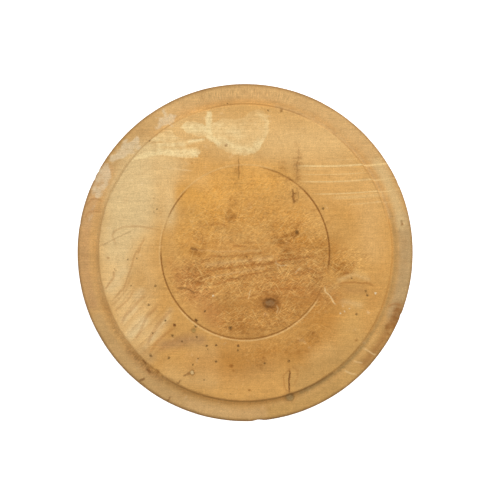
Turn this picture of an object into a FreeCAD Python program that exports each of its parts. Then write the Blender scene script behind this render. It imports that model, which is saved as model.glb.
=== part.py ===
"""A turned wooden butter mold: a base with a carved print, a ring that stands on it, and a plunger under a broad plate.

The origin is the centre of the foot, and +Z is the turning axis. Lengths are in millimetres.
"""

import FreeCAD, Part
import os
import re

import Sketcher

# Each size is its name, its value and what it measures. Every name holds an underscore.
SIZES = [
    ("disc_radius", 90.0, "outside of the press plate and of the base"),
    ("raised_radius", 78.8, "raised centre of both discs"),
    ("raised_height", 3.5, "step between the rim and the raised centre"),
    ("rim_thickness", 11.0, "thickness of both discs at the rim"),
    ("rim_round", 1.6, "round on the outer edges of both discs"),
    ("step_hollow", 2.2, "hollow at the foot of the step"),
    ("step_lip", 0.9, "round at the head of the step"),
    ("scribe_radius", 45.6, "circle scribed on both raised centres"),
    ("scribe_half_width", 0.6, "half the width of the scribed line"),
    ("scribe_depth", 0.5, "depth of the scribed line"),
    ("ring_bore_radius", 79.0, "inside of the ring"),
    ("ring_wall", 9.0, "wall of the ring at its two bands"),
    ("ring_height", 62.0, "height of the ring"),
    ("band_height", 9.0, "height of the plain band at each end of the ring"),
    ("band_relief", 1.4, "depth of the ring's waist below its bands"),
    ("band_round", 1.2, "round on the edges of the bands"),
    ("line_spacing", 5.0, "distance from a band to the nearest turned line, and between lines"),
    ("line_half_width", 0.7, "half the width of a turned line"),
    ("line_depth", 0.7, "depth of a turned line"),
    ("running_gap", 0.4, "gap between the ring's bore and what slides in it"),
    ("plug_height", 6.0, "height of the plug that centres the ring on the base"),
    ("print_radius", 60.0, "radius of the carved print plate"),
    ("print_thickness", 10.0, "thickness of the carved print plate"),
    ("petal_count", 6, "petals of the print"),
    ("petal_middle", 22.5, "distance from the axis to the middle of a petal"),
    ("petal_half_length", 19.0, "half the length of a petal"),
    ("petal_half_width", 6.5, "half the width of a petal"),
    ("petal_depth", 2.4, "depth of a petal"),
    ("nick_count", 36, "nicks in the border of the print"),
    ("nick_middle", 52.5, "distance from the axis to the middle of a nick"),
    ("nick_half_length", 4.0, "half the length of a nick"),
    ("nick_half_width", 1.8, "half the width of a nick"),
    ("nick_depth", 1.4, "depth of a nick"),
    ("border_half_width", 5.5, "distance from the middle of the nicks to the lines beside them"),
    ("tool_margin", 1.0, "how far the carving tools stand above the wood"),
    ("peg_count", 6, "pegs that hold the print plate"),
    ("peg_radius", 3.0, "radius of a peg"),
    ("peg_circle", 40.0, "distance from the axis to a peg"),
    ("peg_grip", 5.0, "depth that the pegs enter the base"),
    ("peg_sink", 0.2, "depth of a peg's end below the print"),
    ("pusher_thickness", 14.0, "thickness of the pusher at its edge"),
    ("pusher_round", 1.0, "round on the edges of the pusher"),
    ("charge_height", 28.0, "butter under the pusher at rest"),
    ("press_gap", 0.8, "gap left over the print when the plunger is right down"),
    ("boss_radius", 30.0, "boss on the press plate and on the pusher"),
    ("boss_height", 12.0, "height of both bosses"),
    ("boss_round", 1.6, "round on the free edge of a boss"),
    ("boss_hollow", 3.0, "hollow where a boss meets its disc"),
    ("socket_depth", 20.0, "depth of the blind socket in each boss"),
    ("stem_radius", 17.0, "radius of the stem at its shoulders"),
    ("tenon_radius", 12.0, "radius of the stem's tenons"),
    ("waist_radius", 14.0, "radius of the stem at its waist"),
    ("waist_hollow", 13.0, "hollow that makes the waist"),
    ("kerf_depth", 9.5, "saw cut in the end of each tenon"),
    ("wedge_length", 8.0, "length of the wedge in each saw cut"),
    ("wedge_head", 2.6, "thickness of a wedge at its head"),
    ("wedge_tip", 0.8, "thickness of a wedge at its tip, and of the saw cut"),
    ("pin_radius", 3.2, "radius of the cross pins"),
    ("pin_inset", 5.6, "distance from a boss's mouth to its cross pin"),
    ("pin_proud", 1.0, "how far a cross pin stands out of its boss"),
    ("pin_bevel", 0.6, "bevel on a cross pin's ends"),
]

# Levels and lengths that follow from the sizes.
RING_SEAT = "(raised_height + rim_thickness)"
PRINT_TOP = f"({RING_SEAT} + plug_height)"
PUSHER_BOTTOM = f"({PRINT_TOP} + charge_height)"
PUSHER_HEIGHT = "(pusher_thickness + boss_height)"
REACH = "(ring_height - plug_height - press_gap)"
BARE_STEM = f"({REACH} - {PUSHER_HEIGHT} - boss_height)"
STEM_HEIGHT = f"(2 * socket_depth + {BARE_STEM})"
STEM_BOTTOM = f"({PUSHER_BOTTOM} + {PUSHER_HEIGHT} - socket_depth)"
PLATE_BOTTOM = f"({PUSHER_BOTTOM} + {REACH} - boss_height)"
SLIDING_RADIUS = "(ring_bore_radius - running_gap)"
PIN_LENGTH = "(2 * boss_radius + 2 * pin_proud)"

doc = FreeCAD.newDocument("butter_mold")
nodes = []


def bound(expression):
    """The expression with every size's name pointed at the sheet."""
    return re.sub(r"[a-z]+(_[a-z]+)+", r"Sizes.\g<0>", expression)


def value(expression):
    """The number an expression comes to now."""
    return float(doc.Sizes.evalExpression(bound(expression)))


def make_sheet():
    sheet = doc.addObject("Spreadsheet::Sheet", "Sizes")
    for row, (name, number, meaning) in enumerate(SIZES, start=1):
        sheet.set(f"A{row}", name)
        sheet.set(f"B{row}", str(number))
        sheet.set(f"C{row}", meaning)
        sheet.setAlias(f"B{row}", name)
    doc.recompute()


def origin_part(body, role):
    """One of the body's own origin planes or axes."""
    return next(feature for feature in body.Origin.OriginFeatures if feature.Role == role)


def new_sketch(body, name, plane):
    sketch = body.newObject("Sketcher::SketchObject", name)
    sketch.AttachmentSupport = [(origin_part(body, plane), "")]
    sketch.MapMode = "FlatFace"
    return sketch


def constrain(sketch, kind, *target, expression):
    """Adds a constraint whose size is the expression."""
    index = sketch.addConstraint(Sketcher.Constraint(kind, *target, value(expression)))
    sketch.setExpression(f"Constraints[{index}]", bound(expression))


def place_point(sketch, geometry, point, place):
    """Ties a point of the sketch to its distances from the sketch's origin."""
    for kind, expression in zip(("DistanceX", "DistanceY"), place):
        constrain(sketch, kind, -1, 1, geometry, point, expression=expression)


def draw_outline(sketch, places):
    """A closed outline of straight lines; each corner is a pair of expressions."""
    corners = [FreeCAD.Vector(value(across), value(up), 0) for across, up in places]
    following = corners[1:] + corners[:1]
    for start, end in zip(corners, following):
        sketch.addGeometry(Part.LineSegment(start, end))
    for line in range(len(corners)):
        next_line = (line + 1) % len(corners)
        sketch.addConstraint(Sketcher.Constraint("Coincident", line, 2, next_line, 1))
    for line, place in enumerate(places):
        place_point(sketch, line, 1, place)


def draw_circle(sketch, place, radius):
    """A circle; its centre is a pair of expressions, and its radius one more."""
    centre = FreeCAD.Vector(value(place[0]), value(place[1]), 0)
    circle = sketch.addGeometry(Part.Circle(centre, FreeCAD.Vector(0, 0, 1), value(radius)))
    place_point(sketch, circle, 3, place)
    constrain(sketch, "Radius", circle, expression=radius)


def turned(name, places, bottom="0"):
    """A body turned about Z from its half outline, standing at the height given by bottom."""
    body = doc.addObject("PartDesign::Body", name)
    body.Label = name
    sketch = new_sketch(body, f"{name}_half_outline", "XZ_Plane")
    draw_outline(sketch, places)
    turning = body.newObject("PartDesign::Revolution", f"{name}_turning")
    turning.Profile = sketch
    turning.ReferenceAxis = (sketch, ["V_Axis"])
    turning.Angle = 360
    body.setExpression(".Placement.Base.z", bound(bottom))
    doc.recompute()
    nodes.append(body)
    return body


def round_circles(body, name, radius, circles):
    """Rounds the circular edges at each pair of radius and height."""
    base = body.Tip
    wanted = [(value(across), value(up)) for across, up in circles]
    edges = []
    for number, edge in enumerate(base.Shape.Edges, start=1):
        if not isinstance(edge.Curve, Part.Circle):
            continue
        for across, up in wanted:
            if abs(edge.Curve.Radius - across) < 1e-6 and abs(edge.Curve.Center.z - up) < 1e-6:
                edges.append(f"Edge{number}")
    if len(edges) != len(wanted):
        raise ValueError(f"{body.Label}: found {len(edges)} of {len(wanted)} edges for {name}")
    fillet = body.newObject("PartDesign::Fillet", f"{body.Name}_{name}")
    fillet.Base = (base, edges)
    fillet.setExpression("Radius", bound(radius))
    doc.recompute()


def confirm_cut(body, before):
    """Stops the build if the last feature took nothing off the body."""
    doc.recompute()
    if body.Shape.Volume >= before - 1e-6:
        raise ValueError(f"{body.Label}: {body.Tip.Name} cuts nothing")


def cut_through(body, sketch):
    """Cuts the sketch's outline through the whole body, both ways."""
    before = body.Shape.Volume
    pocket = body.newObject("PartDesign::Pocket", f"{sketch.Name}_cut")
    pocket.Profile = sketch
    pocket.Type = "ThroughAll"
    pocket.SideType = "Symmetric"
    confirm_cut(body, before)
    return pocket


def cut_around(body, sketch, axis):
    """Cuts the sketch's outline by turning it about one of the sketch's own axes."""
    before = body.Shape.Volume
    groove = body.newObject("PartDesign::Groove", f"{sketch.Name}_cut")
    groove.Profile = sketch
    groove.ReferenceAxis = (sketch, [axis])
    groove.Angle = 360
    confirm_cut(body, before)
    return groove


def repeat_cut(body, cut, count):
    """Repeats a cut evenly around Z."""
    before = body.Shape.Volume
    pattern = body.newObject("PartDesign::PolarPattern", f"{cut.Name}_pattern")
    pattern.Originals = [cut]
    pattern.Axis = (origin_part(body, "Z_Axis"), [""])
    pattern.Angle = 360
    pattern.setExpression("Occurrences", bound(count))
    body.Tip = pattern
    confirm_cut(body, before)


def drill_across(body, name, plane, height):
    """A hole for a cross pin, square to the plane, at the given height."""
    sketch = new_sketch(body, f"{body.Name}_{name}", plane)
    draw_circle(sketch, ("0", height), "pin_radius")
    cut_through(body, sketch)


def drill_peg_holes(body, floor, mouth):
    """Holes for the print's pegs, from floor up to mouth."""
    sketch = new_sketch(body, f"{body.Name}_peg_hole", "XZ_Plane")
    near = "peg_circle - peg_radius"
    draw_outline(sketch, [("peg_circle", floor), ("peg_circle", mouth), (near, mouth), (near, floor)])
    before = body.Shape.Volume
    hole = body.newObject("PartDesign::Groove", f"{body.Name}_peg_hole_cut")
    hole.Profile = sketch
    hole.ReferenceAxis = (sketch, ["Edge1"])
    hole.Angle = 360
    confirm_cut(body, before)
    repeat_cut(body, hole, "peg_count")


def vee(radius, half_width, depth, level):
    """Three corners of a turned line in a flat face at the given level, from the outside inwards."""
    return [
        (f"{radius} + {half_width}", level),
        (radius, f"{level} - {depth}"),
        (f"{radius} - {half_width}", level),
    ]


def side_vee(radius, height):
    """Three corners of a turned line in the side of the ring, from the bottom upwards."""
    return [
        (radius, f"{height} - line_half_width"),
        (f"{radius} - line_depth", height),
        (radius, f"{height} + line_half_width"),
    ]


def make_press_plate():
    shoulder = "boss_height + rim_thickness"
    top = f"{shoulder} + raised_height"
    plate = turned(
        "press_plate",
        [
            ("tenon_radius", "0"),
            ("boss_radius", "0"),
            ("boss_radius", "boss_height"),
            ("disc_radius", "boss_height"),
            ("disc_radius", shoulder),
            ("raised_radius", shoulder),
            ("raised_radius", top),
            *vee("scribe_radius", "scribe_half_width", "scribe_depth", top),
            ("0", top),
            ("0", "socket_depth"),
            ("tenon_radius", "socket_depth"),
        ],
        bottom=PLATE_BOTTOM,
    )
    rim_edges = [("disc_radius", "boss_height"), ("disc_radius", shoulder)]
    round_circles(plate, "rim_round", "rim_round", rim_edges)
    round_circles(plate, "step_hollow", "step_hollow", [("raised_radius", shoulder)])
    round_circles(plate, "step_lip", "step_lip", [("raised_radius", top)])
    round_circles(plate, "boss_hollow", "boss_hollow", [("boss_radius", "boss_height")])
    round_circles(plate, "boss_round", "boss_round", [("boss_radius", "0")])
    drill_across(plate, "pin_hole", "XZ_Plane", "pin_inset")


def make_pusher():
    pusher = turned(
        "pusher_disc",
        [
            ("0", "0"),
            (SLIDING_RADIUS, "0"),
            (SLIDING_RADIUS, "pusher_thickness"),
            ("boss_radius", "pusher_thickness"),
            ("boss_radius", PUSHER_HEIGHT),
            ("tenon_radius", PUSHER_HEIGHT),
            ("tenon_radius", f"{PUSHER_HEIGHT} - socket_depth"),
            ("0", f"{PUSHER_HEIGHT} - socket_depth"),
        ],
        bottom=PUSHER_BOTTOM,
    )
    edges = [(SLIDING_RADIUS, "0"), (SLIDING_RADIUS, "pusher_thickness")]
    round_circles(pusher, "edge_round", "pusher_round", edges)
    round_circles(pusher, "boss_hollow", "boss_hollow", [("boss_radius", "pusher_thickness")])
    round_circles(pusher, "boss_round", "boss_round", [("boss_radius", PUSHER_HEIGHT)])
    drill_across(pusher, "pin_hole", "YZ_Plane", f"{PUSHER_HEIGHT} - pin_inset")


def make_stem():
    """The spindle, with a tenon at each end, a waist between the bosses, and a saw cut in each tenon."""
    shoulder = f"(socket_depth + {BARE_STEM})"
    stem = turned(
        "plunger_stem",
        [
            ("0", "0"),
            ("tenon_radius", "0"),
            ("tenon_radius", "socket_depth"),
            ("stem_radius", "socket_depth"),
            ("stem_radius", shoulder),
            ("tenon_radius", shoulder),
            ("tenon_radius", STEM_HEIGHT),
            ("0", STEM_HEIGHT),
        ],
        bottom=STEM_BOTTOM,
    )
    waist = new_sketch(stem, "waist", "XZ_Plane")
    draw_circle(waist, ("waist_radius + waist_hollow", f"{STEM_HEIGHT} / 2"), "waist_hollow")
    cut_around(stem, waist, "V_Axis")
    drill_across(stem, "lower_pin_hole", "YZ_Plane", "socket_depth - pin_inset")
    drill_across(stem, "upper_pin_hole", "XZ_Plane", f"{shoulder} + pin_inset")
    saw_kerf(stem, "lower_kerf", "0", "+")
    saw_kerf(stem, "upper_kerf", STEM_HEIGHT, "-")


def saw_kerf(stem, name, end, inwards):
    """A saw cut spread to the shape of its wedge; inwards is the sign of the way into the tenon."""
    spread = f"{end} {inwards} wedge_length"
    bottom = f"{end} {inwards} kerf_depth"
    sketch = new_sketch(stem, name, "XZ_Plane")
    draw_outline(
        sketch,
        [
            ("wedge_head / 2", end),
            ("wedge_tip / 2", spread),
            ("wedge_tip / 2", bottom),
            ("-wedge_tip / 2", bottom),
            ("-wedge_tip / 2", spread),
            ("-wedge_head / 2", end),
        ],
    )
    cut_through(stem, sketch)


def make_wedge(name, head_level, turn):
    """A wedge trimmed to the round of its tenon, its tip turned about X from +Y to point into the stem."""
    blade = doc.addObject("Part::Wedge", f"{name}_blade")
    for side, sign in (("min", "-"), ("max", "")):
        blade.setExpression(f"X{side}", bound(f"{sign}wedge_head / 2"))
        blade.setExpression(f"X2{side}", bound(f"{sign}wedge_tip / 2"))
        blade.setExpression(f"Z{side}", bound(f"{sign}tenon_radius"))
        blade.setExpression(f"Z2{side}", bound(f"{sign}tenon_radius"))
    blade.Ymin = 0
    blade.setExpression("Ymax", bound("wedge_length"))
    round_of_tenon = doc.addObject("Part::Cylinder", f"{name}_round")
    round_of_tenon.setExpression("Radius", bound("tenon_radius"))
    round_of_tenon.setExpression("Height", bound("wedge_length"))
    round_of_tenon.Placement.Rotation = FreeCAD.Rotation(FreeCAD.Vector(1, 0, 0), -90)
    wedge = doc.addObject("Part::Common", name)
    wedge.Label = name
    wedge.Base = blade
    wedge.Tool = round_of_tenon
    wedge.Placement.Rotation = FreeCAD.Rotation(FreeCAD.Vector(1, 0, 0), turn)
    wedge.setExpression(".Placement.Base.z", bound(head_level))
    nodes.append(wedge)


def make_cross_pin(name, axis, turn_axis, turn, level):
    """A pin turned along Z, then laid along the named axis at the given level."""
    bevel_radius = "pin_radius - pin_bevel"
    pin = turned(
        name,
        [
            ("0", "0"),
            (bevel_radius, "0"),
            ("pin_radius", "pin_bevel"),
            ("pin_radius", f"{PIN_LENGTH} - pin_bevel"),
            (bevel_radius, PIN_LENGTH),
            ("0", PIN_LENGTH),
        ],
        bottom=level,
    )
    pin.Placement.Rotation = FreeCAD.Rotation(turn_axis, turn)
    pin.setExpression(f".Placement.Base.{axis}", bound(f"-{PIN_LENGTH} / 2"))


def make_ring():
    outside = "(ring_bore_radius + ring_wall)"
    waist = f"({outside} - band_relief)"
    upper_band = "(ring_height - band_height)"
    lower_lines = [f"band_height + {count} * line_spacing" for count in (1, 2)]
    upper_lines = [f"{upper_band} - {count} * line_spacing" for count in (2, 1)]
    lines = []
    for height in lower_lines + upper_lines:
        lines += side_vee(waist, height)
    ring = turned(
        "mold_ring",
        [
            ("ring_bore_radius", "0"),
            (outside, "0"),
            (outside, "band_height"),
            (waist, "band_height"),
            *lines,
            (waist, upper_band),
            (outside, upper_band),
            (outside, "ring_height"),
            ("ring_bore_radius", "ring_height"),
        ],
        bottom=RING_SEAT,
    )
    band_edges = [(outside, height) for height in ("0", "band_height", upper_band, "ring_height")]
    mouth_edges = [("ring_bore_radius", height) for height in ("0", "ring_height")]
    round_circles(ring, "band_round", "band_round", band_edges)
    round_circles(ring, "mouth_round", "band_round", mouth_edges)


def make_base():
    recess = f"({PRINT_TOP} - print_thickness)"
    base = turned(
        "base_board",
        [
            ("0", "0"),
            ("scribe_radius - scribe_half_width", "0"),
            ("scribe_radius", "scribe_depth"),
            ("scribe_radius + scribe_half_width", "0"),
            ("raised_radius", "0"),
            ("raised_radius", "raised_height"),
            ("disc_radius", "raised_height"),
            ("disc_radius", RING_SEAT),
            (SLIDING_RADIUS, RING_SEAT),
            (SLIDING_RADIUS, PRINT_TOP),
            ("print_radius", PRINT_TOP),
            ("print_radius", recess),
            ("0", recess),
        ],
    )
    rim_edges = [("disc_radius", "raised_height"), ("disc_radius", RING_SEAT)]
    round_circles(base, "rim_round", "rim_round", rim_edges)
    round_circles(base, "step_hollow", "step_hollow", [("raised_radius", "raised_height")])
    lip_edges = [("raised_radius", "0"), (SLIDING_RADIUS, PRINT_TOP)]
    round_circles(base, "step_lip", "step_lip", lip_edges)
    drill_peg_holes(base, f"{recess} - peg_grip", recess)


def carve(body, name, middle, half_length, half_width, depth, count):
    """Carved leaf shapes set around Z: a vee tool swings on an arc, so each cut has a point at both ends.

    The sketch's origin is the centre of the swing, far enough up for the arc to meet the wood at both points.
    """
    swing = f"(({half_length} ^ 2 - {depth} ^ 2) / (2 * {depth}))"
    edge = f"({half_width} * ({depth} + tool_margin) / {depth})"
    sketch = new_sketch(body, f"{body.Name}_{name}", "YZ_Plane")
    sketch.setExpression(".AttachmentOffset.Base.y", bound(f"print_thickness + {swing}"))
    sketch.setExpression(".AttachmentOffset.Base.z", bound(middle))
    draw_outline(
        sketch,
        [
            ("0", f"-({swing} + {depth})"),
            (edge, f"-({swing} - tool_margin)"),
            (f"-{edge}", f"-({swing} - tool_margin)"),
        ],
    )
    cut = cut_around(body, sketch, "H_Axis")
    repeat_cut(body, cut, count)


def make_print_plate():
    top = "print_thickness"
    print_plate = turned(
        "print_plate",
        [
            ("0", "0"),
            ("print_radius", "0"),
            ("print_radius", top),
            *vee("nick_middle + border_half_width", "line_half_width", "line_depth", top),
            *vee("nick_middle - border_half_width", "line_half_width", "line_depth", top),
            ("0", top),
        ],
        bottom=f"{PRINT_TOP} - print_thickness",
    )
    petal = ("petal_middle", "petal_half_length", "petal_half_width", "petal_depth", "petal_count")
    nick = ("nick_middle", "nick_half_length", "nick_half_width", "nick_depth", "nick_count")
    carve(print_plate, "petal", *petal)
    carve(print_plate, "nick", *nick)
    drill_peg_holes(print_plate, "0", top)


def make_print_pegs():
    """The pegs, midway between the petals, as one group of separate solids."""
    pegs = []
    for number in range(int(value("peg_count"))):
        peg = doc.addObject("Part::Cylinder", f"print_peg_{number}")
        angle = f"{number} * 360 deg / peg_count"
        peg.setExpression("Radius", bound("peg_radius"))
        peg.setExpression("Height", bound("print_thickness + peg_grip - peg_sink"))
        peg.setExpression(".Placement.Base.x", bound(f"peg_circle * cos({angle})"))
        peg.setExpression(".Placement.Base.y", bound(f"peg_circle * sin({angle})"))
        pegs.append(peg)
    group = doc.addObject("Part::Compound", "print_pegs")
    group.Label = "print_pegs"
    group.Links = pegs
    group.setExpression(".Placement.Base.z", bound(f"{PRINT_TOP} - print_thickness - peg_grip"))
    nodes.append(group)


def check_document():
    """Stops the build if any object failed, or any piece isn't a sound solid."""
    doc.recompute()
    for item in doc.Objects:
        if "Invalid" in item.State or "Error" in item.State:
            raise ValueError(f"{item.Name} failed: {item.State}")
    for node in nodes:
        if node.Shape.isNull() or not node.Shape.isValid() or not node.Shape.Solids:
            raise ValueError(f"{node.Label} has no sound solid")


def write_parts():
    os.makedirs("parts", exist_ok=True)
    for node in nodes:
        node.Shape.exportStep(f"parts/{node.Label}.step")
        print(f"{node.Label}: {node.Shape.Volume / 1000:.1f} cm3")


make_sheet()
make_base()
make_print_plate()
make_print_pegs()
make_ring()
make_pusher()
make_stem()
make_press_plate()
# A wedge's tip points down into the upper tenon, and up into the lower one.
make_wedge("stem_wedge_upper", f"{STEM_BOTTOM} + {STEM_HEIGHT}", -90)
make_wedge("stem_wedge_lower", STEM_BOTTOM, 90)
upper_pin_level = f"{PLATE_BOTTOM} + pin_inset"
lower_pin_level = f"{PUSHER_BOTTOM} + {PUSHER_HEIGHT} - pin_inset"
make_cross_pin("upper_cross_pin", "y", FreeCAD.Vector(1, 0, 0), -90, upper_pin_level)
make_cross_pin("lower_cross_pin", "x", FreeCAD.Vector(0, 1, 0), 90, lower_pin_level)
check_document()
write_parts()
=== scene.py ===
import math
from collections import namedtuple

import bpy
import numpy as np
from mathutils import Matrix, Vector, noise


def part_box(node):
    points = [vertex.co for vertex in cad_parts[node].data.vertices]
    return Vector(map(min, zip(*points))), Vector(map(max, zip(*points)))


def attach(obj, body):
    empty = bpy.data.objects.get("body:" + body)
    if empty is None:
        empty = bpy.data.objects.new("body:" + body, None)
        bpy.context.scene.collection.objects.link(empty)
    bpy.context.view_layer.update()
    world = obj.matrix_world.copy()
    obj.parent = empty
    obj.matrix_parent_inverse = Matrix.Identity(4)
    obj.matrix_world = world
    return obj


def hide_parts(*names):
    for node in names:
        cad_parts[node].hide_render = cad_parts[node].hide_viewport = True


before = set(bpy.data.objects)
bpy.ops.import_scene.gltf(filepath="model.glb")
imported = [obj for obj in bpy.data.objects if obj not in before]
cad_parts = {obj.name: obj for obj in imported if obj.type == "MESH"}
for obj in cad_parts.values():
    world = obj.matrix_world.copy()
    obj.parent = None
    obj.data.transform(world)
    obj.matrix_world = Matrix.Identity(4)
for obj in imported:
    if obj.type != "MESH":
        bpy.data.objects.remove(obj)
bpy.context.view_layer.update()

# The scene is in metres; every size below is in millimetres, in the CAD's own frame.
MM = 0.001
TURN = 2 * math.pi
# Slack where points are picked by their height.
TINY = 0.01


def millimetres(corner):
    return [value / MM for value in corner]


PLATE_LOW, PLATE_HIGH = map(millimetres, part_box("press_plate"))
RING_LOW, RING_HIGH = map(millimetres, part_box("mold_ring"))
BASE_LOW, BASE_HIGH = map(millimetres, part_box("base_board"))
PUSHER_LOW, PUSHER_HIGH = map(millimetres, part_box("pusher_disc"))
PRINT_LOW, PRINT_HIGH = map(millimetres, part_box("print_plate"))

DISC_RADIUS = PLATE_HIGH[0]
RAISED_RADIUS = 78.8
RAISED_HEIGHT = 3.5
RIM_THICKNESS = 11.0
RIM_ROUND = 1.6
STEP_HOLLOW = 1.7
STEP_LIP = 0.9
SCRIBE_RADIUS = 45.6
SCRIBE_HALF_WIDTH = 0.6
SCRIBE_DEPTH = 0.5
# The plate's shrinkage across the grain, as shares of its radius: at its edge and at the scribed circle.
OUT_OF_ROUND_EDGE = 0.003
OUT_OF_ROUND_CENTRE = 0.013
BOSS_RADIUS = 30.0
BOSS_HEIGHT = 12.0
BOSS_ROUND = 1.6
BOSS_HOLLOW = 3.0
SOCKET_DEPTH = 20.0
TENON_RADIUS = 12.0
RING_BORE = 79.0
RING_EDGE_ROUND = 1.2
BAND_HEIGHT = 9.0
BAND_RELIEF = 1.4
LINE_HALF_WIDTH = 0.7
LINE_INSETS = (14, 19)
PUSHER_ROUND = 1.0
PLUG_ROUND = 0.3
FACE_LEVEL = PLATE_HIGH[2]
RIM_LEVEL = FACE_LEVEL - RAISED_HEIGHT
# Keeps the plate's underside just clear of the ring that it rests on when it is pushed right down.
CONTACT_GAP = 0.02


def srgb(display):
    """A display colour from 0 to 255, as the linear values that materials use."""
    values = []
    for channel in display:
        share = channel / 255
        values.append(share / 12.92 if share <= 0.04045 else ((share + 0.055) / 1.055) ** 2.4)
    return tuple(values)


# ---------------------------------------------------------------- turned shapes

# Points and normals have one row per point; edges is above 0 on sharp edges and below 0 in hollows.
Shape = namedtuple("Shape", "name points faces edges normals")


def rounded(corners, steps=6):
    """The outline through (radius, height, rounding) corners, with an arc of each corner's rounding."""
    outline = []
    count = len(corners)
    for number, (across, up, rounding) in enumerate(corners):
        here = np.array((across, up))
        if rounding == 0:
            outline.append(here)
            continue
        before = np.array(corners[number - 1][:2]) - here
        after = np.array(corners[(number + 1) % count][:2]) - here
        before /= np.linalg.norm(before)
        after /= np.linalg.norm(after)
        half_angle = math.acos(float(np.clip(before @ after, -1, 1))) / 2
        middle = before + after
        middle /= np.linalg.norm(middle)
        centre = here + middle * rounding / math.sin(half_angle)
        start = here + before * rounding / math.tan(half_angle) - centre
        end = here + after * rounding / math.tan(half_angle) - centre
        sweep = math.acos(float(np.clip(start @ end / rounding**2, -1, 1)))
        for step in range(steps + 1):
            share = step / steps
            blend = math.sin((1 - share) * sweep) * start + math.sin(share * sweep) * end
            outline.append(centre + blend / math.sin(sweep))
    return outline


def divided(outline, longest, closed=False):
    """The outline with points added so that no stretch is longer than longest."""
    points = []
    following = outline[1:] + outline[:1] if closed else outline[1:]
    for start, end in zip(outline, following):
        parts = max(1, math.ceil(np.linalg.norm(end - start) / longest))
        for part in range(parts):
            points.append(start + (end - start) * part / parts)
    if not closed:
        points.append(outline[-1])
    return np.array(points)


def edge_shares(profile, closed):
    """How sharply each point of the outline stands out (above 0) or lies in a hollow (below 0)."""
    before = profile - np.roll(profile, 1, axis=0)
    after = np.roll(profile, -1, axis=0) - profile
    bend = before[:, 0] * after[:, 1] - before[:, 1] * after[:, 0]
    lengths = np.linalg.norm(before, axis=1) * np.linalg.norm(after, axis=1)
    shares = -bend / np.maximum(lengths, 1e-9)
    if not closed:
        shares[0] = shares[-1] = 0
    for _ in range(2):
        shares = (np.roll(shares, 1) + 2 * shares + np.roll(shares, -1)) / 4
    return shares * 2


def profile_normals(profile):
    """Unit normals of an outline, pointing out of the wood."""
    run = np.roll(profile, -1, axis=0) - np.roll(profile, 1, axis=0)
    run[0], run[-1] = profile[1] - profile[0], profile[-1] - profile[-2]
    normals = np.column_stack((-run[:, 1], run[:, 0]))
    return normals / np.maximum(np.linalg.norm(normals, axis=1), 1e-9)[:, None]


def lathe(name, profile, segments, closed=False):
    """A shape turned about Z from an outline that runs outwards, then down, then back to the axis."""
    angles = np.arange(segments) * TURN / segments
    points, normals, faces, edges, rows = [], [], [], [], []
    rims = zip(profile, profile_normals(profile), edge_shares(profile, closed))
    for (radius, height), (out, up), share in rims:
        count = 1 if radius < 1e-6 else segments
        turn = angles[:count]
        first = len(edges)
        points.append(np.column_stack((radius * np.cos(turn), radius * np.sin(turn), np.full(count, height))))
        normals.append(np.column_stack((out * np.cos(turn), out * np.sin(turn), np.full(count, up))))
        edges.extend([share] * count)
        rows.append(first + np.arange(segments) % count)
    pairs = list(zip(rows, rows[1:]))
    if closed:
        pairs.append((rows[-1], rows[0]))
    for upper, lower in pairs:
        upper_next, lower_next = np.roll(upper, -1), np.roll(lower, -1)
        if upper[0] == upper[1]:
            faces.extend(zip(upper.tolist(), lower.tolist(), lower_next.tolist()))
        elif lower[0] == lower[1]:
            faces.extend(zip(upper.tolist(), lower.tolist(), upper_next.tolist()))
        else:
            faces.extend(zip(upper.tolist(), lower.tolist(), lower_next.tolist(), upper_next.tolist()))
    return Shape(name, np.vstack(points), faces, np.array(edges), np.vstack(normals))


def roughly(points, size, seed):
    """Smooth noise from -1 to 1 at each point; size is the width of its waves."""
    offset = Vector((seed * 17.3, seed * 5.1, seed * 9.7))
    return np.array([noise.noise(Vector(point) / size + offset) for point in points.tolist()])


def knock_edges(shape, depth, size, seed):
    """Knocks the sharp edges back here and there, by up to depth."""
    bites = np.clip(roughly(shape.points, size, seed) * 2.5, 0, 1)
    bites += 0.25 * roughly(shape.points, size / 4, seed + 1)
    shape.points[:] -= shape.normals * (np.clip(shape.edges, 0, 1) * np.clip(bites, 0, 1) * depth)[:, None]


def finish_mesh(shape, body, node, material, extra=None):
    """Makes the object from a shape in millimetres; extra holds more point attributes."""
    mesh = bpy.data.meshes.new(shape.name)
    mesh.from_pydata((shape.points * MM).tolist(), [], shape.faces)
    mesh.polygons.foreach_set("use_smooth", [True] * len(mesh.polygons))
    mesh.attributes.new("edge", "FLOAT", "POINT").data.foreach_set("value", shape.edges)
    for label, values in (extra or {}).items():
        if values.ndim == 1:
            mesh.attributes.new(label, "FLOAT", "POINT").data.foreach_set("value", values)
        else:
            colours = np.column_stack((values, np.ones(len(values))))
            mesh.attributes.new(label, "FLOAT_COLOR", "POINT").data.foreach_set("color", colours.ravel())
    piece = bpy.data.objects.new(shape.name, mesh)
    bpy.context.scene.collection.objects.link(piece)
    mesh.materials.append(material)
    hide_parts(node)
    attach(piece, body)


# ---------------------------------------------------------------- node graphs


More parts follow.
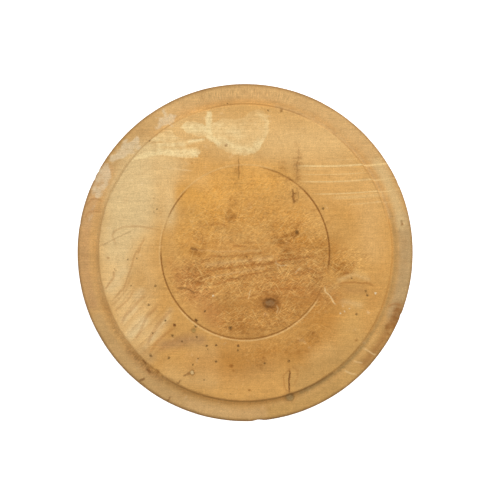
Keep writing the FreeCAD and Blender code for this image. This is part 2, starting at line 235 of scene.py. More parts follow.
class Graph:
    """The node graph of one material. Its methods take sockets or plain values, and return a new socket."""

    def __init__(self, name):
        self.material = bpy.data.materials.new(name)
        self.material.use_nodes = True
        self.tree = self.material.node_tree
        self.tree.nodes.clear()

    def add(self, kind, inputs, output=0, **settings):
        node = self.tree.nodes.new(kind)
        for key, setting in settings.items():
            setattr(node, key, setting)
        for key, given in inputs.items():
            if isinstance(given, bpy.types.NodeSocket):
                self.tree.links.new(given, node.inputs[key])
            else:
                node.inputs[key].default_value = given
        return node.outputs[output] if len(node.outputs) else None

    def math(self, operation, *operands):
        return self.add("ShaderNodeMath", dict(enumerate(operands)), operation=operation)

    def plus(self, first, second):
        return self.math("ADD", first, second)

    def minus(self, first, second):
        return self.math("SUBTRACT", first, second)

    def times(self, product, *factors):
        for factor in factors:
            product = self.math("MULTIPLY", product, factor)
        return product

    def apart(self, first, second):
        return self.math("ABSOLUTE", self.minus(first, second))

    def most(self, shares):
        largest = shares[0]
        for share in shares[1:]:
            largest = self.math("MAXIMUM", largest, share)
        return largest

    def vector(self, operation, first, second=(0, 0, 0)):
        output = 1 if operation in ("DOT_PRODUCT", "DISTANCE", "LENGTH") else 0
        return self.add("ShaderNodeVectorMath", {0: first, 1: second}, output, operation=operation)

    def scaled(self, vector, scale):
        return self.add("ShaderNodeVectorMath", {0: vector, "Scale": scale}, operation="SCALE")

    def parts(self, vector):
        node = self.tree.nodes.new("ShaderNodeSeparateXYZ")
        self.tree.links.new(vector, node.inputs[0])
        return node.outputs[0], node.outputs[1], node.outputs[2]

    def joined(self, x, y, z):
        return self.add("ShaderNodeCombineXYZ", {0: x, 1: y, 2: z})

    def band(self, value, low, high, to_low=0.0, to_high=1.0):
        """The value eased from to_low to to_high as it goes from low to high."""
        inputs = {"Value": value, "From Min": low, "From Max": high, "To Min": to_low, "To Max": to_high}
        return self.add("ShaderNodeMapRange", inputs, interpolation_type="SMOOTHSTEP")

    def noise(self, place, scale=1.0, detail=2.0, rough=0.5, output=0):
        """Noise from 0 to 1. The scale is waves per millimetre, or a triple of them along X, Y and Z."""
        if isinstance(scale, tuple):
            place, scale = self.vector("MULTIPLY", place, scale), 1.0
        inputs = {"Vector": place, "Scale": scale, "Detail": detail, "Roughness": rough}
        return self.add("ShaderNodeTexNoise", inputs, output)

    def mix(self, share, first, second, blend="MIX"):
        """Two colours mixed, each a socket or a display colour."""
        inputs = {0: share}
        for key, given in ((6, first), (7, second)):
            inputs[key] = given if isinstance(given, bpy.types.NodeSocket) else (*srgb(given), 1.0)
        return self.add("ShaderNodeMix", inputs, 2, data_type="RGBA", blend_type=blend)

    def added(self, value, texture, amount):
        """The value plus a texture that swings evenly above and below it."""
        return self.plus(value, self.times(self.minus(texture, 0.5), amount))

    def mottled(self, colour, texture, amount):
        """The colour made lighter and darker by a texture, by about the given share."""
        swing = self.times(self.minus(texture, 0.5), self.times(amount, 4.0))
        factor = self.plus(swing, 1.0)
        return self.mix(1.0, colour, self.joined(factor, factor, factor), "MULTIPLY")

    def attribute(self, name, output=2):
        """A point attribute's number, or with output 0 its colour."""
        return self.add("ShaderNodeAttribute", {}, output, attribute_name=name)

    def place(self):
        """The point on the piece in millimetres, in the CAD's frame at rest."""
        return self.scaled(self.add("ShaderNodeTexCoord", {}, 3), 1 / MM)

    def surface(self, colour, roughness, height, specular, strength=0.3):
        """Ends the graph: height is in millimetres."""
        bump = self.add("ShaderNodeBump", {"Strength": strength, "Distance": MM, "Height": height})
        inputs = {"Base Color": colour, "Roughness": roughness, "Normal": bump, "Specular IOR Level": specular}
        shader = self.add("ShaderNodeBsdfPrincipled", inputs)
        self.add("ShaderNodeOutputMaterial", {0: shader})
        return self.material


# ---------------------------------------------------------------- plain wood

# Tones that every piece of plain wood shares.
STAIN = (166, 108, 48)
CHECK = (126, 84, 44)
DENT = (158, 106, 56)
SPECK = (98, 68, 34)
RUBBED = (226, 188, 136)
GRIME = (110, 78, 44)
# Pieces are read this far apart in the wood, in Y and Z, so that no two match.
PIECE_SHIFT = (71.0, 53.0)


def turned_place(graph, place, grain, seed):
    """The place turned so that the grain runs along X, and moved so that no two pieces match."""
    x, y, z = graph.parts(place)
    along = {"x": (x, y, z), "y": (y, x, z), "z": (z, x, y)}[grain]
    shift = (seed * 311.0, seed * PIECE_SHIFT[0], seed * PIECE_SHIFT[1])
    return graph.vector("ADD", graph.joined(*along), shift)


def wood_figure(graph, place, pith, gap):
    """Growth rings round a pith line along X: 0 in early wood, rising to 1 at each ring's dark edge."""
    _, y, z = graph.parts(place)
    bend = graph.noise(place, (0.009, 0.02, 0.02), 1.0)
    ripple = graph.noise(place, (0.03, 0.11, 0.11), 1.0)
    away = graph.vector("LENGTH", graph.joined(0.0, graph.minus(y, pith[0]), graph.minus(z, pith[1])))
    away = graph.plus(graph.plus(away, graph.times(bend, 8.0)), graph.times(ripple, 1.6))
    count = graph.math("DIVIDE", away, gap)
    year = graph.add("ShaderNodeTexWhiteNoise", {"W": graph.math("FLOOR", count)}, 0, noise_dimensions="1D")
    late = graph.math("POWER", graph.math("FRACT", count), 4.0)
    return graph.times(late, graph.band(year, 0.0, 1.0, 0.35, 1.0))


def wood_fibre(graph, place):
    """Fine streaks along the grain, from 0 to 1."""
    long = graph.noise(place, (0.05, 1.1, 1.1), 3.0, 0.62)
    short = graph.noise(place, (0.35, 2.3, 2.3), 2.0, 0.6)
    return graph.plus(graph.times(long, 0.6), graph.times(short, 0.4))


def checks(graph, place, pith):
    """Short drying cracks that point at the pith, for end grain."""
    x, y, z = graph.parts(place)
    turn = graph.math("ARCTAN2", graph.minus(z, pith[1]), graph.minus(y, pith[0]))
    lines = graph.noise(graph.joined(graph.times(turn, 14.0), graph.times(x, 0.01), 2.0), 1.0, 1.0)
    gaps = graph.noise(place, (0.02, 0.05, 0.05), 1.0)
    near = graph.band(graph.apart(lines, 0.5), 0.0, 0.012, 1.0, 0.0)
    return graph.times(near, graph.band(gaps, 0.57, 0.64))


def end_grain(graph, grain):
    """How far the surface is cut across the grain: 1 on end grain, 0 along the side."""
    normal = graph.add("ShaderNodeTexCoord", {}, 1)
    axis = {"x": (1, 0, 0), "y": (0, 1, 0), "z": (0, 0, 1)}[grain]
    return graph.band(graph.math("ABSOLUTE", graph.vector("DOT_PRODUCT", normal, axis)), 0.55, 0.95)


def tool_rings(graph, place):
    """Fine rings left by the turning tool, the same all the way round the axis."""
    x, y, z = graph.parts(place)
    out = graph.vector("LENGTH", graph.joined(x, y, 0.0))
    return graph.noise(graph.joined(graph.times(out, 1.6), graph.times(z, 1.6), 3.0), 1.0, 2.0, 0.6)


def scattered_specks(graph, place):
    """Small dark specks, each of its own strength."""
    cells = {"Vector": graph.scaled(place, 0.11), "Scale": 1.0, "Randomness": 1.0}
    away = graph.add("ShaderNodeTexVoronoi", cells, 0)
    chance = graph.parts(graph.add("ShaderNodeTexVoronoi", cells, 1))[0]
    return graph.times(graph.band(away, 0.04, 0.08, 1.0, 0.0), graph.band(chance, 0.55, 0.75, 0.0, 0.8))


def worn_edges(graph, colour, mottle):
    """Rubs the sharp edges pale and lays grime in the hollows."""
    edge = graph.attribute("edge")
    rubbed = graph.band(graph.added(edge, mottle, 0.5), 0.15, 0.8, 0.0, 0.55)
    colour = graph.mix(rubbed, colour, RUBBED)
    hollow = graph.band(graph.added(edge, mottle, -0.3), -0.5, -0.03, 0.5, 0.0)
    return graph.mix(hollow, colour, GRIME)


def plain_wood(name, tone, late, grain="x", pith=(0.0, -60.0), gap=4.5, seed=1, turned=True):
    """Bare old wood: growth rings, fibre, darker end grain, blotches, specks, rubbed edges and grime."""
    graph = Graph(name)
    own = graph.place()
    place = turned_place(graph, own, grain, seed)
    middle = (pith[0] + seed * PIECE_SHIFT[0], pith[1] + seed * PIECE_SHIFT[1])
    rings = wood_figure(graph, place, middle, gap)
    fibre = wood_fibre(graph, place)
    mottle = graph.noise(place, 0.45, 3.0, 0.6)
    flecks = graph.noise(place, (0.16, 1.6, 1.6), 1.0, 0.4)
    across = end_grain(graph, grain)
    colour = graph.mix(graph.times(rings, 0.6), tone, late)
    colour = graph.mix(graph.band(flecks, 0.64, 0.72, 0.0, 0.3), colour, late)
    colour = graph.mix(graph.times(across, 0.3), colour, late)
    colour = graph.mottled(colour, fibre, 0.2)
    colour = graph.mottled(colour, graph.noise(place, 0.035, 3.0, 0.55), 0.16)
    colour = graph.mottled(colour, mottle, 0.07)
    pores = graph.noise(place, 2.2, 2.0, 0.6)
    colour = graph.mottled(colour, pores, graph.plus(graph.times(across, 0.1), 0.05))
    stained = graph.noise(place, 0.05, 5.0, 0.66)
    colour = graph.mix(graph.band(stained, 0.52, 0.7, 0.0, 0.5), colour, STAIN)
    cracked = graph.times(checks(graph, place, middle), across)
    colour = graph.mix(graph.times(cracked, 0.5), colour, CHECK)
    dented = graph.band(graph.noise(place, 0.16, 1.0, 0.4), 0.66, 0.74)
    colour = graph.mix(graph.times(dented, 0.3), colour, DENT)
    colour = graph.mix(scattered_specks(graph, place), colour, SPECK)
    colour = worn_edges(graph, colour, mottle)
    height = graph.plus(graph.times(fibre, 0.14), graph.times(rings, 0.06))
    height = graph.minus(height, graph.times(dented, 0.5))
    height = graph.minus(height, graph.times(cracked, 0.8))
    if turned:
        tooled = tool_rings(graph, own)
        colour = graph.mottled(colour, tooled, 0.07)
        height = graph.plus(height, graph.times(tooled, 0.2))
    return graph.surface(colour, graph.band(mottle, 0.2, 0.8, 0.7, 0.52), height, 0.25)


# ---------------------------------------------------------------- the press plate's colours and marks

# All seen from above, with the grain along X. A stroke is a path of (x, y) points, a half width, a feather
# and a strength. An arc is a radius, two bearings in degrees, a half width, a feather and a strength.
# Tones are display colours.
FACE_TONE = (217, 163, 90)
SIDE_TONE = (206, 157, 100)
# Slow changes of colour over the face: a tone and a stroke.
TINTS = [
    ((231, 187, 122), [(-44, 66), (46, 60)], 12, 26, 0.95),
    ((231, 187, 122), [(34, 46), (70, 32)], 8, 22, 0.5),
    ((230, 197, 140), [(-57, 46), (-62, 26)], 13, 14, 0.95),
    ((230, 197, 140), [(-62, 26), (-68, -4)], 10.5, 15, 0.95),
    ((230, 197, 140), [(-50, 50), (-40, 46)], 6, 16, 0.6),
    ((235, 196, 134), [(-42, 44), (-41, 20)], 6, 14, 0.85),
    ((236, 198, 138), [(-52, -4), (-53, -24), (-68, -21)], 3, 14, 0.4),
    ((230, 168, 82), [(-22, 34), (10, 36)], 9, 18, 0.85),
    ((227, 172, 98), [(40, 38), (66, 22)], 8, 18, 0.65),
    ((227, 177, 108), [(64, 24), (68, 2)], 6, 12, 0.85),
    ((230, 167, 78), [(-24, 30), (-26, 8)], 12, 6, 0.5),
    ((212, 144, 56), [(-14, 20), (26, 20)], 6, 14, 0.5),
    ((198, 137, 68), [(-24, -14), (30, -8)], 10, 14, 0.7),
    ((188, 127, 58), [(-6, -34), (34, -28)], 11, 14, 0.8),
    ((186, 122, 44), [(30, 6), (44, 2), (50, -10)], 4, 16, 0.75),
    ((202, 138, 64), [(-28, 4), (24, 4)], 5, 12, 0.5),
    ((204, 150, 84), [(-20, -60), (8, -58)], 10, 16, 0.7),
    ((196, 135, 60), [(-6, -56), (30, -52), (44, -36)], 7, 16, 0.8),
    ((198, 154, 90), [(30, -72), (60, -46)], 7, 12, 0.7),
    ((236, 195, 132), [(-71, -16), (-56, -42)], 8, 14, 0.85),
    ((236, 195, 132), [(-44, -34), (-50, -44)], 2, 8, 0.6),
    ((222, 177, 112), [(-40, -66), (-18, -70)], 4, 12, 0.6),
    ((196, 135, 64), [(24, -24), (68, -24)], 5, 16, 0.5),
    ((186, 118, 62), [(-32, -14), (-18, -34)], 6, 10, 0.5),
    ((182, 118, 56), [(14, -20), (46, -22)], 5, 9, 0.45),
    ((192, 128, 64), [(-41, -5), (-36, -13)], 3, 8, 0.4),
    ((224, 164, 84), [(6, 22), (16, 22)], 4, 8, 0.35),
    ((184, 138, 88), [(-44, -50), (-24, -47)], 3, 6, 0.8),
    ((216, 166, 94), [(60, -24), (56, -42)], 6, 12, 0.8),
    ((228, 182, 112), [(44, -22), (52, -15), (60, -12.5), (66, -13)], 0.5, 4, 0.7),
    ((190, 138, 78), [(54, -19), (64, -19.5)], 1.5, 5, 0.6),
    ((222, 174, 106), [(36, -55), (43, -51)], 4, 8, 0.5),
    ((222, 172, 104), [(-26, -52), (-17, -53)], 4, 8, 0.45),
    ((214, 150, 62), [(50, 23), (55, 18)], 4, 12, 0.2),
    ((196, 162, 112), [(-55, -52), (-50, -56)], 3, 7, 0.5),
    ((200, 130, 44), [(18, 12), (27, 6)], 4, 8, 0.45),
    ((234, 188, 122), [(-38, 38), (-22, 39)], 4, 8, 0.4),
    ((234, 190, 124), [(-52, 10), (-52, 4)], 4, 8, 0.5),
]
# Pale early wood between growth lines.
LENS_TONE = (234, 203, 148)
LENSES = [
    ([(-65, -10), (-72, -19)], 2.4, 6, 0.6),
    ([(-55, -20.5), (-58, -24)], 1.4, 4, 0.45),
    ([(-54.5, -36.5), (-61, -43.5)], 2.2, 5, 0.8),
    ([(-59, -30), (-65, -36)], 1.2, 4, 0.6),
    ([(-40, -31), (-44, -37.5), (-51, -47)], 0.8, 5, 0.5),
    ([(-49, -45), (-53, -50)], 0.8, 4, 0.5),
    ([(50, -14.5), (59, -12), (66, -14)], 0.4, 3.5, 0.4),
    ([(53, -26.5), (61, -28.5)], 1, 5, 0.35),
    ([(-28, 2), (-14, 0.2), (8, 1)], 0.2, 2.0, 0.3),
    ([(-24, -15), (-8, -11.2), (10, -8)], 0.2, 2.0, 0.4),
    ([(-20, -6.4), (0, -4), (14, -2.6)], 0.6, 3.0, 0.35),
]
# The colours of the rim and the step, with painted shade and painted light on the step and the outer edge: a
# tone and an arc.
ARC_TINTS_AND_PAINTED_SHADING = [
    ((205, 164, 107), 86, -180, 180, 4, 5, 0.6),
    ((222, 179, 118), 86, 30, 120, 4, 5, 0.75),
    ((214, 168, 114), 86, 150, 170, 4, 5, 0.8),
    ((205, 158, 104), 86, 174, 198, 4, 5, 0.7),
    ((201, 163, 108), 86, 205, 262, 4, 4, 0.6),
    ((203, 158, 90), 86, 280, 330, 4, 4, 0.7),
    ((214, 172, 114), 86, 250, 276, 3, 4, 0.6),
    ((190, 159, 112), 86, -22, 12, 4, 5, 0.75),
    ((224, 190, 132), 85, 10, 34, 2.5, 4, 0.7),
    # Painted shade: the step's hollow made darker at the lower right.
    ((170, 144, 94), 80.4, 292, 376, 0.7, 3.0, 0.7),
    # Painted shade: the step's slope made darker at the upper right, where it faces the key light.
    ((202, 164, 110), 79.8, 14, 78, 0.8, 2.4, 0.8),
    # Painted light: the rim just beyond the step made lighter at the left and bottom, against the step's
    # shadow.
    ((224, 176, 108), 82.6, 150, 330, 1.0, 2.5, 0.5),
    ((184, 138, 86), 82, 220, 236, 1.5, 3, 0.5),
    ((168, 116, 62), 87, 317, 341, 2, 5, 0.7),
    # Painted shade: a dark line along the foot of the step at the bottom.
    ((128, 90, 46), 79.6, 236, 306, 0.2, 1.5, 0.75),
    # Painted shade: a dark ring all round the plate's rounded outer edge.
    ((118, 80, 42), 90.3, -180, 180, 0.9, 2.8, 0.88),
]
# Bleached patches, each a closed outline.
BLEACHED = [
    [
        (-20.9, 75.9), (-17.8, 75.8), (-17.6, 69), (-12, 71.5), (-7, 71), (-1.7, 71.8), (3, 75), (7, 76.2),
        (11, 75.4), (13, 72.5), (12.9, 68), (12.3, 63.7), (9.6, 60), (8.3, 56.2), (6, 53.4), (1.8, 52.6),
        (-2.2, 51.2), (-5.1, 51.7), (-8.9, 53.3), (-12.8, 54.9), (-15.6, 56.8), (-18.5, 59.2),
        (-20.9, 60.8),
    ],
    [
        (-60.5, 48.7), (-57, 52.8), (-51, 59.5), (-44.5, 64.5), (-40.6, 65.6), (-37, 63.2), (-32.5, 60.2),
        (-26, 60.6), (-21, 61.8), (-21, 60), (-29, 58.4), (-31.5, 57.2), (-25.2, 56.5), (-24, 54),
        (-25.2, 50.8), (-30, 50.4), (-37.7, 50.8), (-43.4, 52), (-50.2, 51.4), (-56, 50.2),
    ],
    [
        (-34.4, 66.8), (-32, 70), (-28, 70.5), (-23, 69.4), (-20.5, 67), (-20.5, 62.8), (-25, 62.2),
        (-32, 64.2),
    ],
]
# Strokes of sound wood left inside them, strokes where they are creamier, and chalky deposits on the rim.
BLEACH_GAPS = [
    ([(-58, 57.4), (-50, 59), (-43.5, 59.2)], 0.6, 1.8, 1.0),
    ([(-59, 52.6), (-51, 53.6), (-47, 53.8)], 0.4, 1.6, 0.8),
    ([(-42, 57.2), (-36, 56.8)], 0.2, 1.6, 0.6),
    ([(-47, 62), (-40, 61.2)], 0.2, 1.8, 0.6),
]
CREAM_STROKES = [
    ([(-19.3, 74), (-19, 62), (-14, 58.5)], 1.6, 3.0, 1.0),
    ([(-13, 60), (-4, 55.5), (4, 54.6), (7.5, 58)], 2.6, 6, 0.8),
    ([(11, 63), (11.5, 70), (8, 74)], 1.2, 5, 0.5),
    ([(-17, 67), (-4, 64)], 4, 8, 0.5),
    ([(-46, 53.6), (-26, 53)], 2.0, 4, 1.0),
    ([(-60, 49.5), (-46, 54)], 1.5, 4, 0.8),
    ([(-46, 57.6), (-33, 57.8)], 1.2, 4, 0.8),
    ([(-50, 60), (-40, 62)], 3, 5, 0.45),
    ([(-30, 59.3), (-21, 61.2)], 0.6, 2, 1.0),
    ([(-31, 67), (-22, 66)], 3, 5, 0.8),
]
CHALK_STROKES = [
    ([(-47, 66.6), (-42, 71.5), (-37.6, 72.8)], 1.0, 2.4, 1.0),
    ([(-43.4, 76), (-42.3, 71), (-39, 67.6)], 0.8, 2.4, 0.9),
    ([(-47.8, 72.4), (-42.5, 71.2)], 0.7, 2.2, 0.8),
    ([(-44.5, 70), (-39.5, 71.5)], 2.4, 3, 0.8),
    ([(-57.6, 60.4), (-61, 57), (-65, 56.4)], 1.8, 2.6, 1.0),
    ([(-60.5, 54.5), (-65.5, 53), (-70.8, 50)], 1.8, 3, 0.95),
    ([(-63.8, 60.2), (-66.5, 55.5), (-69, 52)], 0.8, 2.4, 0.9),
    ([(-58, 60), (-57.3, 56)], 1.0, 2.4, 0.9),
    ([(-61, 56.4), (-66.5, 53.6)], 2.8, 3, 0.75),
    ([(-74.4, 46), (-73, 41), (-75.5, 36), (-79, 30.8)], 1.8, 3, 0.85),
    ([(-77.2, 43.5), (-79.6, 37), (-80.8, 31.5)], 1.4, 2.6, 0.75),
    ([(-75.6, 41), (-78, 33)], 2.8, 3, 0.7),
    ([(-80.6, 25), (-83, 18)], 0.8, 3, 0.5),
]
# Where the turning tool chattered, where knives have scratched the face, and where its growth rings show.
CHATTER_ARCS = [(85.5, 74, 108, 2.5, 3, 0.8), (81, 211, 234, 1.6, 2.5, 1.0), (81.5, 306, 330, 1.0, 3, 0.4)]
WORN_STROKES = [
    ([(-26, -14), (34, -10)], 14, 18, 1.0),
    ([(-8, -36), (26, -32)], 8, 12, 0.9),
    ([(-20, 14), (30, 12)], 14, 16, 0.75),
    ([(-14, 32), (22, 32)], 10, 14, 0.55),
    ([(-34, 10), (-30, -20)], 6, 14, 0.6),
    ([(30, -4), (38, 6)], 8, 14, 0.9),
    ([(40, -8), (58, -4)], 8, 12, 0.8),
    ([(38, -30), (48, -18)], 5, 12, 0.7),
    ([(4, -54), (40, -42)], 6, 12, 0.4),
]
FIGURE_STROKES = [
    ([(-60, -26), (-44, -46)], 12, 12, 0.5),
    ([(-28, -6), (32, -8)], 9, 14, 0.75),
    ([(-22, -16), (10, -11)], 4, 10, 0.9),
]
# Growth lines seen on the face: a path, a half width and a strength.
FIGURE_LINES = [
    ([(-70.2, -8.7), (-70.4, -13.7), (-75.6, -20.6)], 0, 0.5),
    ([(-56.5, 6), (-57.4, 2), (-60.3, -5.8), (-62.8, -13.2), (-64.8, -19.1), (-72.7, -26.5)], 0, 0.42),
    ([(-60, -11), (-63.8, -20), (-71.5, -28.6)], 0, 0.3),
    ([(-53.5, 9.3), (-54, 6.4), (-56.4, 3.5), (-56.9, -1.3)], 0, 0.45),
    ([(-58.4, -19.6), (-63.8, -25.5), (-70.4, -32.6)], 0, 0.4),
    ([(-51.9, -20.6), (-58.9, -27.5), (-62.8, -32.4), (-66.4, -40.5)], 0.3, 0.35),
    ([(-46, -27.5), (-50, -32), (-52.9, -35.4), (-55.9, -41.3), (-60.2, -47.6)], 0.3, 0.35),
    ([(-37.6, -28.5), (-44, -35.4), (-49, -42.3), (-53.6, -51.4)], 0.4, 0.38),
    ([(-36, -38.5), (-42, -43), (-48, -49), (-52.5, -55)], 0.4, 0.32),
    ([
        (-43.9, 12.1), (-53, 13.1), (-59.8, 14.1), (-65.5, 13.9), (-69.8, 11.7), (-70.8, 8.3), (-68.9, 4.5),
        (-67.9, 0.6),
    ], 0, 0.35),
    ([(-86, 24), (-83, 27.8), (-80, 28.8), (-75, 27)], 0, 0.4),
    ([(-86, 17), (-84.2, 20.8), (-80.6, 22.6), (-76, 21.5)], 0, 0.35),
    ([(-24, -2.4), (-14, -1.9), (-5, -1.7), (4, -0.6), (14, 0.4)], 0, 0.5),
    ([(-26, -12), (-15, -9), (-3.6, -7.1), (11.8, -6), (21, -3.8), (31, -2), (41, -1.4)], 0.1, 0.66),
    ([(-20, -18.8), (-9.3, -14.8), (0.3, -12.3), (11.8, -9.4), (19, -7.6)], 0.1, 0.62),
    ([(-10, -24.2), (0.3, -23.4), (7.9, -22), (15.6, -19.1), (27, -19.1), (40, -19)], 0.05, 0.5),
    ([(-25.6, 12.6), (-20.8, 14.8), (-14, 15), (-9, 14)], 0, 0.45),
    ([(-8, 3.6), (2, 3.4)], 0.1, 0.6),
    ([(24, -12), (34, -10), (42, -12)], 0.6, 0.4),
    ([(47.2, -18.6), (52.2, -16.1), (59.1, -15.2), (65, -16.1), (71, -19.1)], 0, 0.6),
    ([(25.5, -61), (20.1, -66), (21.1, -72.9), (24.1, -74.8)], 0, 0.5),
    ([(24, -60.4), (28.4, -62.5), (28.6, -66.5), (26, -72)], 0, 0.35),
    ([(76, -29), (80.5, -27.6), (84.5, -29)], 0, 0.5),
]
# Where the scribed line is dark and where its lit edge shows, and where the step's lip is dark: two bearings
# in degrees and a strength.
SCRIBE_DARK = [
    (-6, 44, 1.0), (184, 232, 0.95), (46, 74, 0.6), (138, 150, 0.8),
    (150, 184, 0.25), (232, 300, 0.75), (300, 328, 0.55),
]
SCRIBE_LIT = [(225, 322, 0.6), (150, 185, 0.45), (76, 136, 0.4)]
LIP_DARK = [(20, 48, 0.4), (70, 100, 0.5), (120, 150, 0.35), (258, 300, 0.35)]

# Dark and pale lines on the plate's face: a path, a half width and a strength.
CRACKS = [
    ([(-3.1, 51.3), (-3.6, 46), (-3.2, 42), (-3.5, 38)], 0.05, 0.5),
    ([(23.3, -61.5), (23.9, -65), (23.3, -69), (23.7, -76)], 0.15, 0.9),
    ([(28.7, 58), (28.7, 52), (27.8, 47), (27.9, 36.4)], 0, 0.3),
    ([(25.2, 34.4), (25.4, 31.3), (26.4, 26)], 0.15, 0.65),
    ([(27.8, 35.4), (28.3, 29.4), (27.4, 26.6)], 0, 0.4),
    ([(-79, 2.6), (-69, 7.6), (-59, 12.6)], 0.05, 0.32),
    ([(-37.2, -18.7), (-31, -19.4), (-26, -22.1)], 0.2, 0.55),
    ([(-29.7, -64.3), (-33.1, -66.2)], 0.2, 0.6),
    ([(-34, -68), (-36.5, -70.2)], 0.2, 0.6),
    ([(-39.6, -76.7), (-42.1, -79.5)], 0.2, 0.55),
    ([(-56.8, -68.6), (-53.4, -67.2)], 0.3, 0.7),
    ([(-55.5, -57.2), (-52.6, -60.2)], 0.2, 0.6),
    ([(-52.6, -62), (-50.4, -64.2)], 0.3, 0.6),
    ([(-38.4, -38.2), (-37.1, -39)], 0.25, 0.85),
    ([(-10.8, -22.8), (-9.6, -23.4)], 0.2, 0.6),
    ([(-29.6, 2.2), (-25.4, 1.9)], 0.2, 0.6),
    ([(-27, -35.2), (-25.6, -36.6)], 0.3, 0.9),
    ([(-3.1, -49.1), (-4.2, -50.4)], 0.15, 0.85),
    ([(18.2, 75.8), (20.3, 76.1)], 0.3, 0.6),
    ([(83.7, 17.4), (83.9, 14.8)], 0.2, 0.5),
    ([(-69.8, -8.4), (-68.6, -10.2)], 0.1, 0.6),
]
# Brown stains.
STAINS = [
    ([(28.6, 57), (27.9, 46), (28, 36)], 0.4, 5.0, 0.38),
    ([(19, 51), (21, 41), (26, 35)], 0.4, 5.0, 0.35),
    ([(-3.6, 50), (-3.8, 34), (-6, 18)], 0.5, 5.0, 0.3),
    ([(26.8, 34), (26.4, 26)], 0.4, 2.6, 0.4),
    ([(12, 8), (19, 6), (25, 9.5)], 0.5, 4.5, 0.6),
    ([(24, 7.5), (27, 10.2), (28.6, 12)], 0.6, 2.6, 0.85),
    ([(17, 0), (21, -4), (22, -9)], 0.5, 4.5, 0.42),
    ([(-31, 1.4), (-26, 0), (-20, -2)], 0.8, 4.5, 0.55),
    ([(-11, 21), (-4, 18)], 0.8, 6.0, 0.55),
    ([(-8, 30), (-4, 25)], 0.8, 5.0, 0.42),
    ([(-26.6, 12.6), (-17, 14), (-8, 13)], 0.8, 4.0, 0.25),
    ([(-28, 8), (-18, 7)], 0.8, 5.0, 0.4),
    ([(19.5, 5), (22, -1), (24, -6)], 1.2, 4.0, 0.55),
    ([(-33, -14), (-16, -11.5)], 1.2, 7.0, 0.35),
    ([(-12, -38), (6, -43), (26, -37)], 1.0, 6.0, 0.4),
    ([(36, -6), (40, -16)], 1.0, 5.0, 0.45),
    ([(4, -24), (13, -22)], 1.0, 6.0, 0.35),
    ([(40, 6), (43, -1), (42, -10)], 1.5, 5.0, 0.3),
    ([(46, -7), (53, -8.5), (60, -8)], 1.2, 5.0, 0.48),
    ([(-6, -42), (4, -42), (13, -39)], 1.5, 4.5, 0.35),
    ([(8, -26), (13, -26.5), (19, -28)], 2.0, 5.0, 0.4),
    ([(83, -28), (80.5, -36), (77, -42)], 0.8, 4.0, 0.6),
    ([(18, -52), (30, -50), (41, -42)], 2.0, 7.0, 0.3),
    ([(6, -62), (12, -56)], 1.0, 5.0, 0.4),
    ([(74.6, -39.4), (77, -40.4)], 0.6, 1.6, 0.6),
    ([(-52, -62), (-47, -64)], 1.0, 3.0, 0.3),
]
PALE_LINES = [
    ([(41.9, -17.5), (43.1, -20.6), (46.5, -25.2), (49, -28.6)], 0.1, 0.8),
    ([(3.4, -19.3), (1.5, -24.9)], 0.1, 0.4),
    ([(62.6, -50.8), (70.6, -55.1)], 0.15, 0.6),
    ([(57.6, -57.6), (63.2, -59.4)], 0.15, 0.5),
    ([(52.7, -63.1), (60.1, -65.6)], 0.15, 0.55),
    ([(-46.8, 46.3), (-37.7, 44.7), (-27, 43.9)], 0.05, 0.6),
    ([(16.5, -27.5), (17.6, -30), (16.8, -33)], 0.1, 0.4),
    ([(15.5, -5), (19, -7.5), (23.5, -6.2)], 0.1, 0.5),
    ([(26.5, -11), (30, -8)], 0.2, 0.45),
    ([(16, -3), (18, -10)], 0.0, 0.45),
]

# Dark specks, soft brown spots and pale chips: x, y and radius.
SPECKS = [
    (-47, 23.3, 0.4), (-9.5, 79.7, 0.5), (-51, 59.7, 0.4), (-51.4, -28, 0.6), (-42.7, -36.3, 0.5),
    (-38.8, -44.3, 0.7), (-26, -36, 0.5), (-26.4, -39.4, 0.7), (-25.9, -45.1, 0.5), (-33.8, -47.4, 0.5),
    (-21.6, -31.3, 0.5), (-20.5, -49.9, 0.5), (-15.5, -49.5, 0.6), (-19.9, -51.6, 0.4), (-3.5, -49.9, 0.5),
    (-3.9, -52.3, 0.5), (-15.5, -58.2, 0.6), (-25.1, -56.6, 0.4), (-27.9, -59.8, 0.5), (-50.4, -55, 0.7),
    (-40.7, -56.2, 0.6), (-21.9, -67.9, 0.3), (-7.7, -75.6, 0.3), (-48, -17.8, 0.5), (-49.5, -43, 0.4),
    (-60.9, -17.7, 0.3), (-57.8, -3.2, 0.3), (-62.8, -3.7, 0.4), (-48.6, 21.4, 0.3),
    (59.5, -32.9, 0.6), (64.4, -20.6, 0.5), (65.3, -22.7, 0.6), (57, -13.6, 0.5), (23.4, -57.9, 0.6),
    (10.5, -59.1, 0.5), (-7.9, -40.2, 0.9), (27.7, 10.8, 0.8), (41.6, 23.6, 0.6), (0.8, -2.2, 0.4),
    (12.2, 76, 0.4),
]
SOFT_SPOTS = [
    (27.3, 10.5, 1.4), (-7.9, -40.2, 1.2), (-28.6, 0.3, 1.6), (-9.9, 57.4, 0.9), (-7.8, -60.7, 1.2),
    (-6.2, -62.8, 0.9), (59.8, -46.8, 1.2), (36.7, -43.1, 1.2), (76.7, -43.7, 1.0), (75.8, -39.7, 1.4),
    (-46.5, -63.6, 1.2), (-28.6, 48.1, 0.8), (2.5, -73.7, 0.9), (-37.7, -38.8, 0.8),
    (-72.9, -2.7, 0.8), (83, -34, 1.4), (-49, 29, 0.6), (84, 15, 0.8),
]
CHIPS = [(50.9, -32.4, 0.35), (53.1, -31.4, 0.3), (55.7, -29.8, 0.3), (69.7, -21.7, 0.5), (-17, -23, 0.4)]
# Knots: x, y, radius, how much wider than high, strength of the halo, ring colour, core colour.
KNOTS = [
    (13.5, -27.0, 2.3, 1.3, 0.75, (104, 66, 28), (150, 116, 76)),
    (23.9, -77.3, 1.7, 1.1, 0.3, (122, 96, 56), (172, 144, 94)),
    (-28.3, -64.0, 1.2, 0.9, 0.3, (130, 94, 44), (226, 192, 134)),
    (-27.5, -41.6, 0.9, 1.1, 0.2, (104, 84, 42), (170, 136, 76)),
]

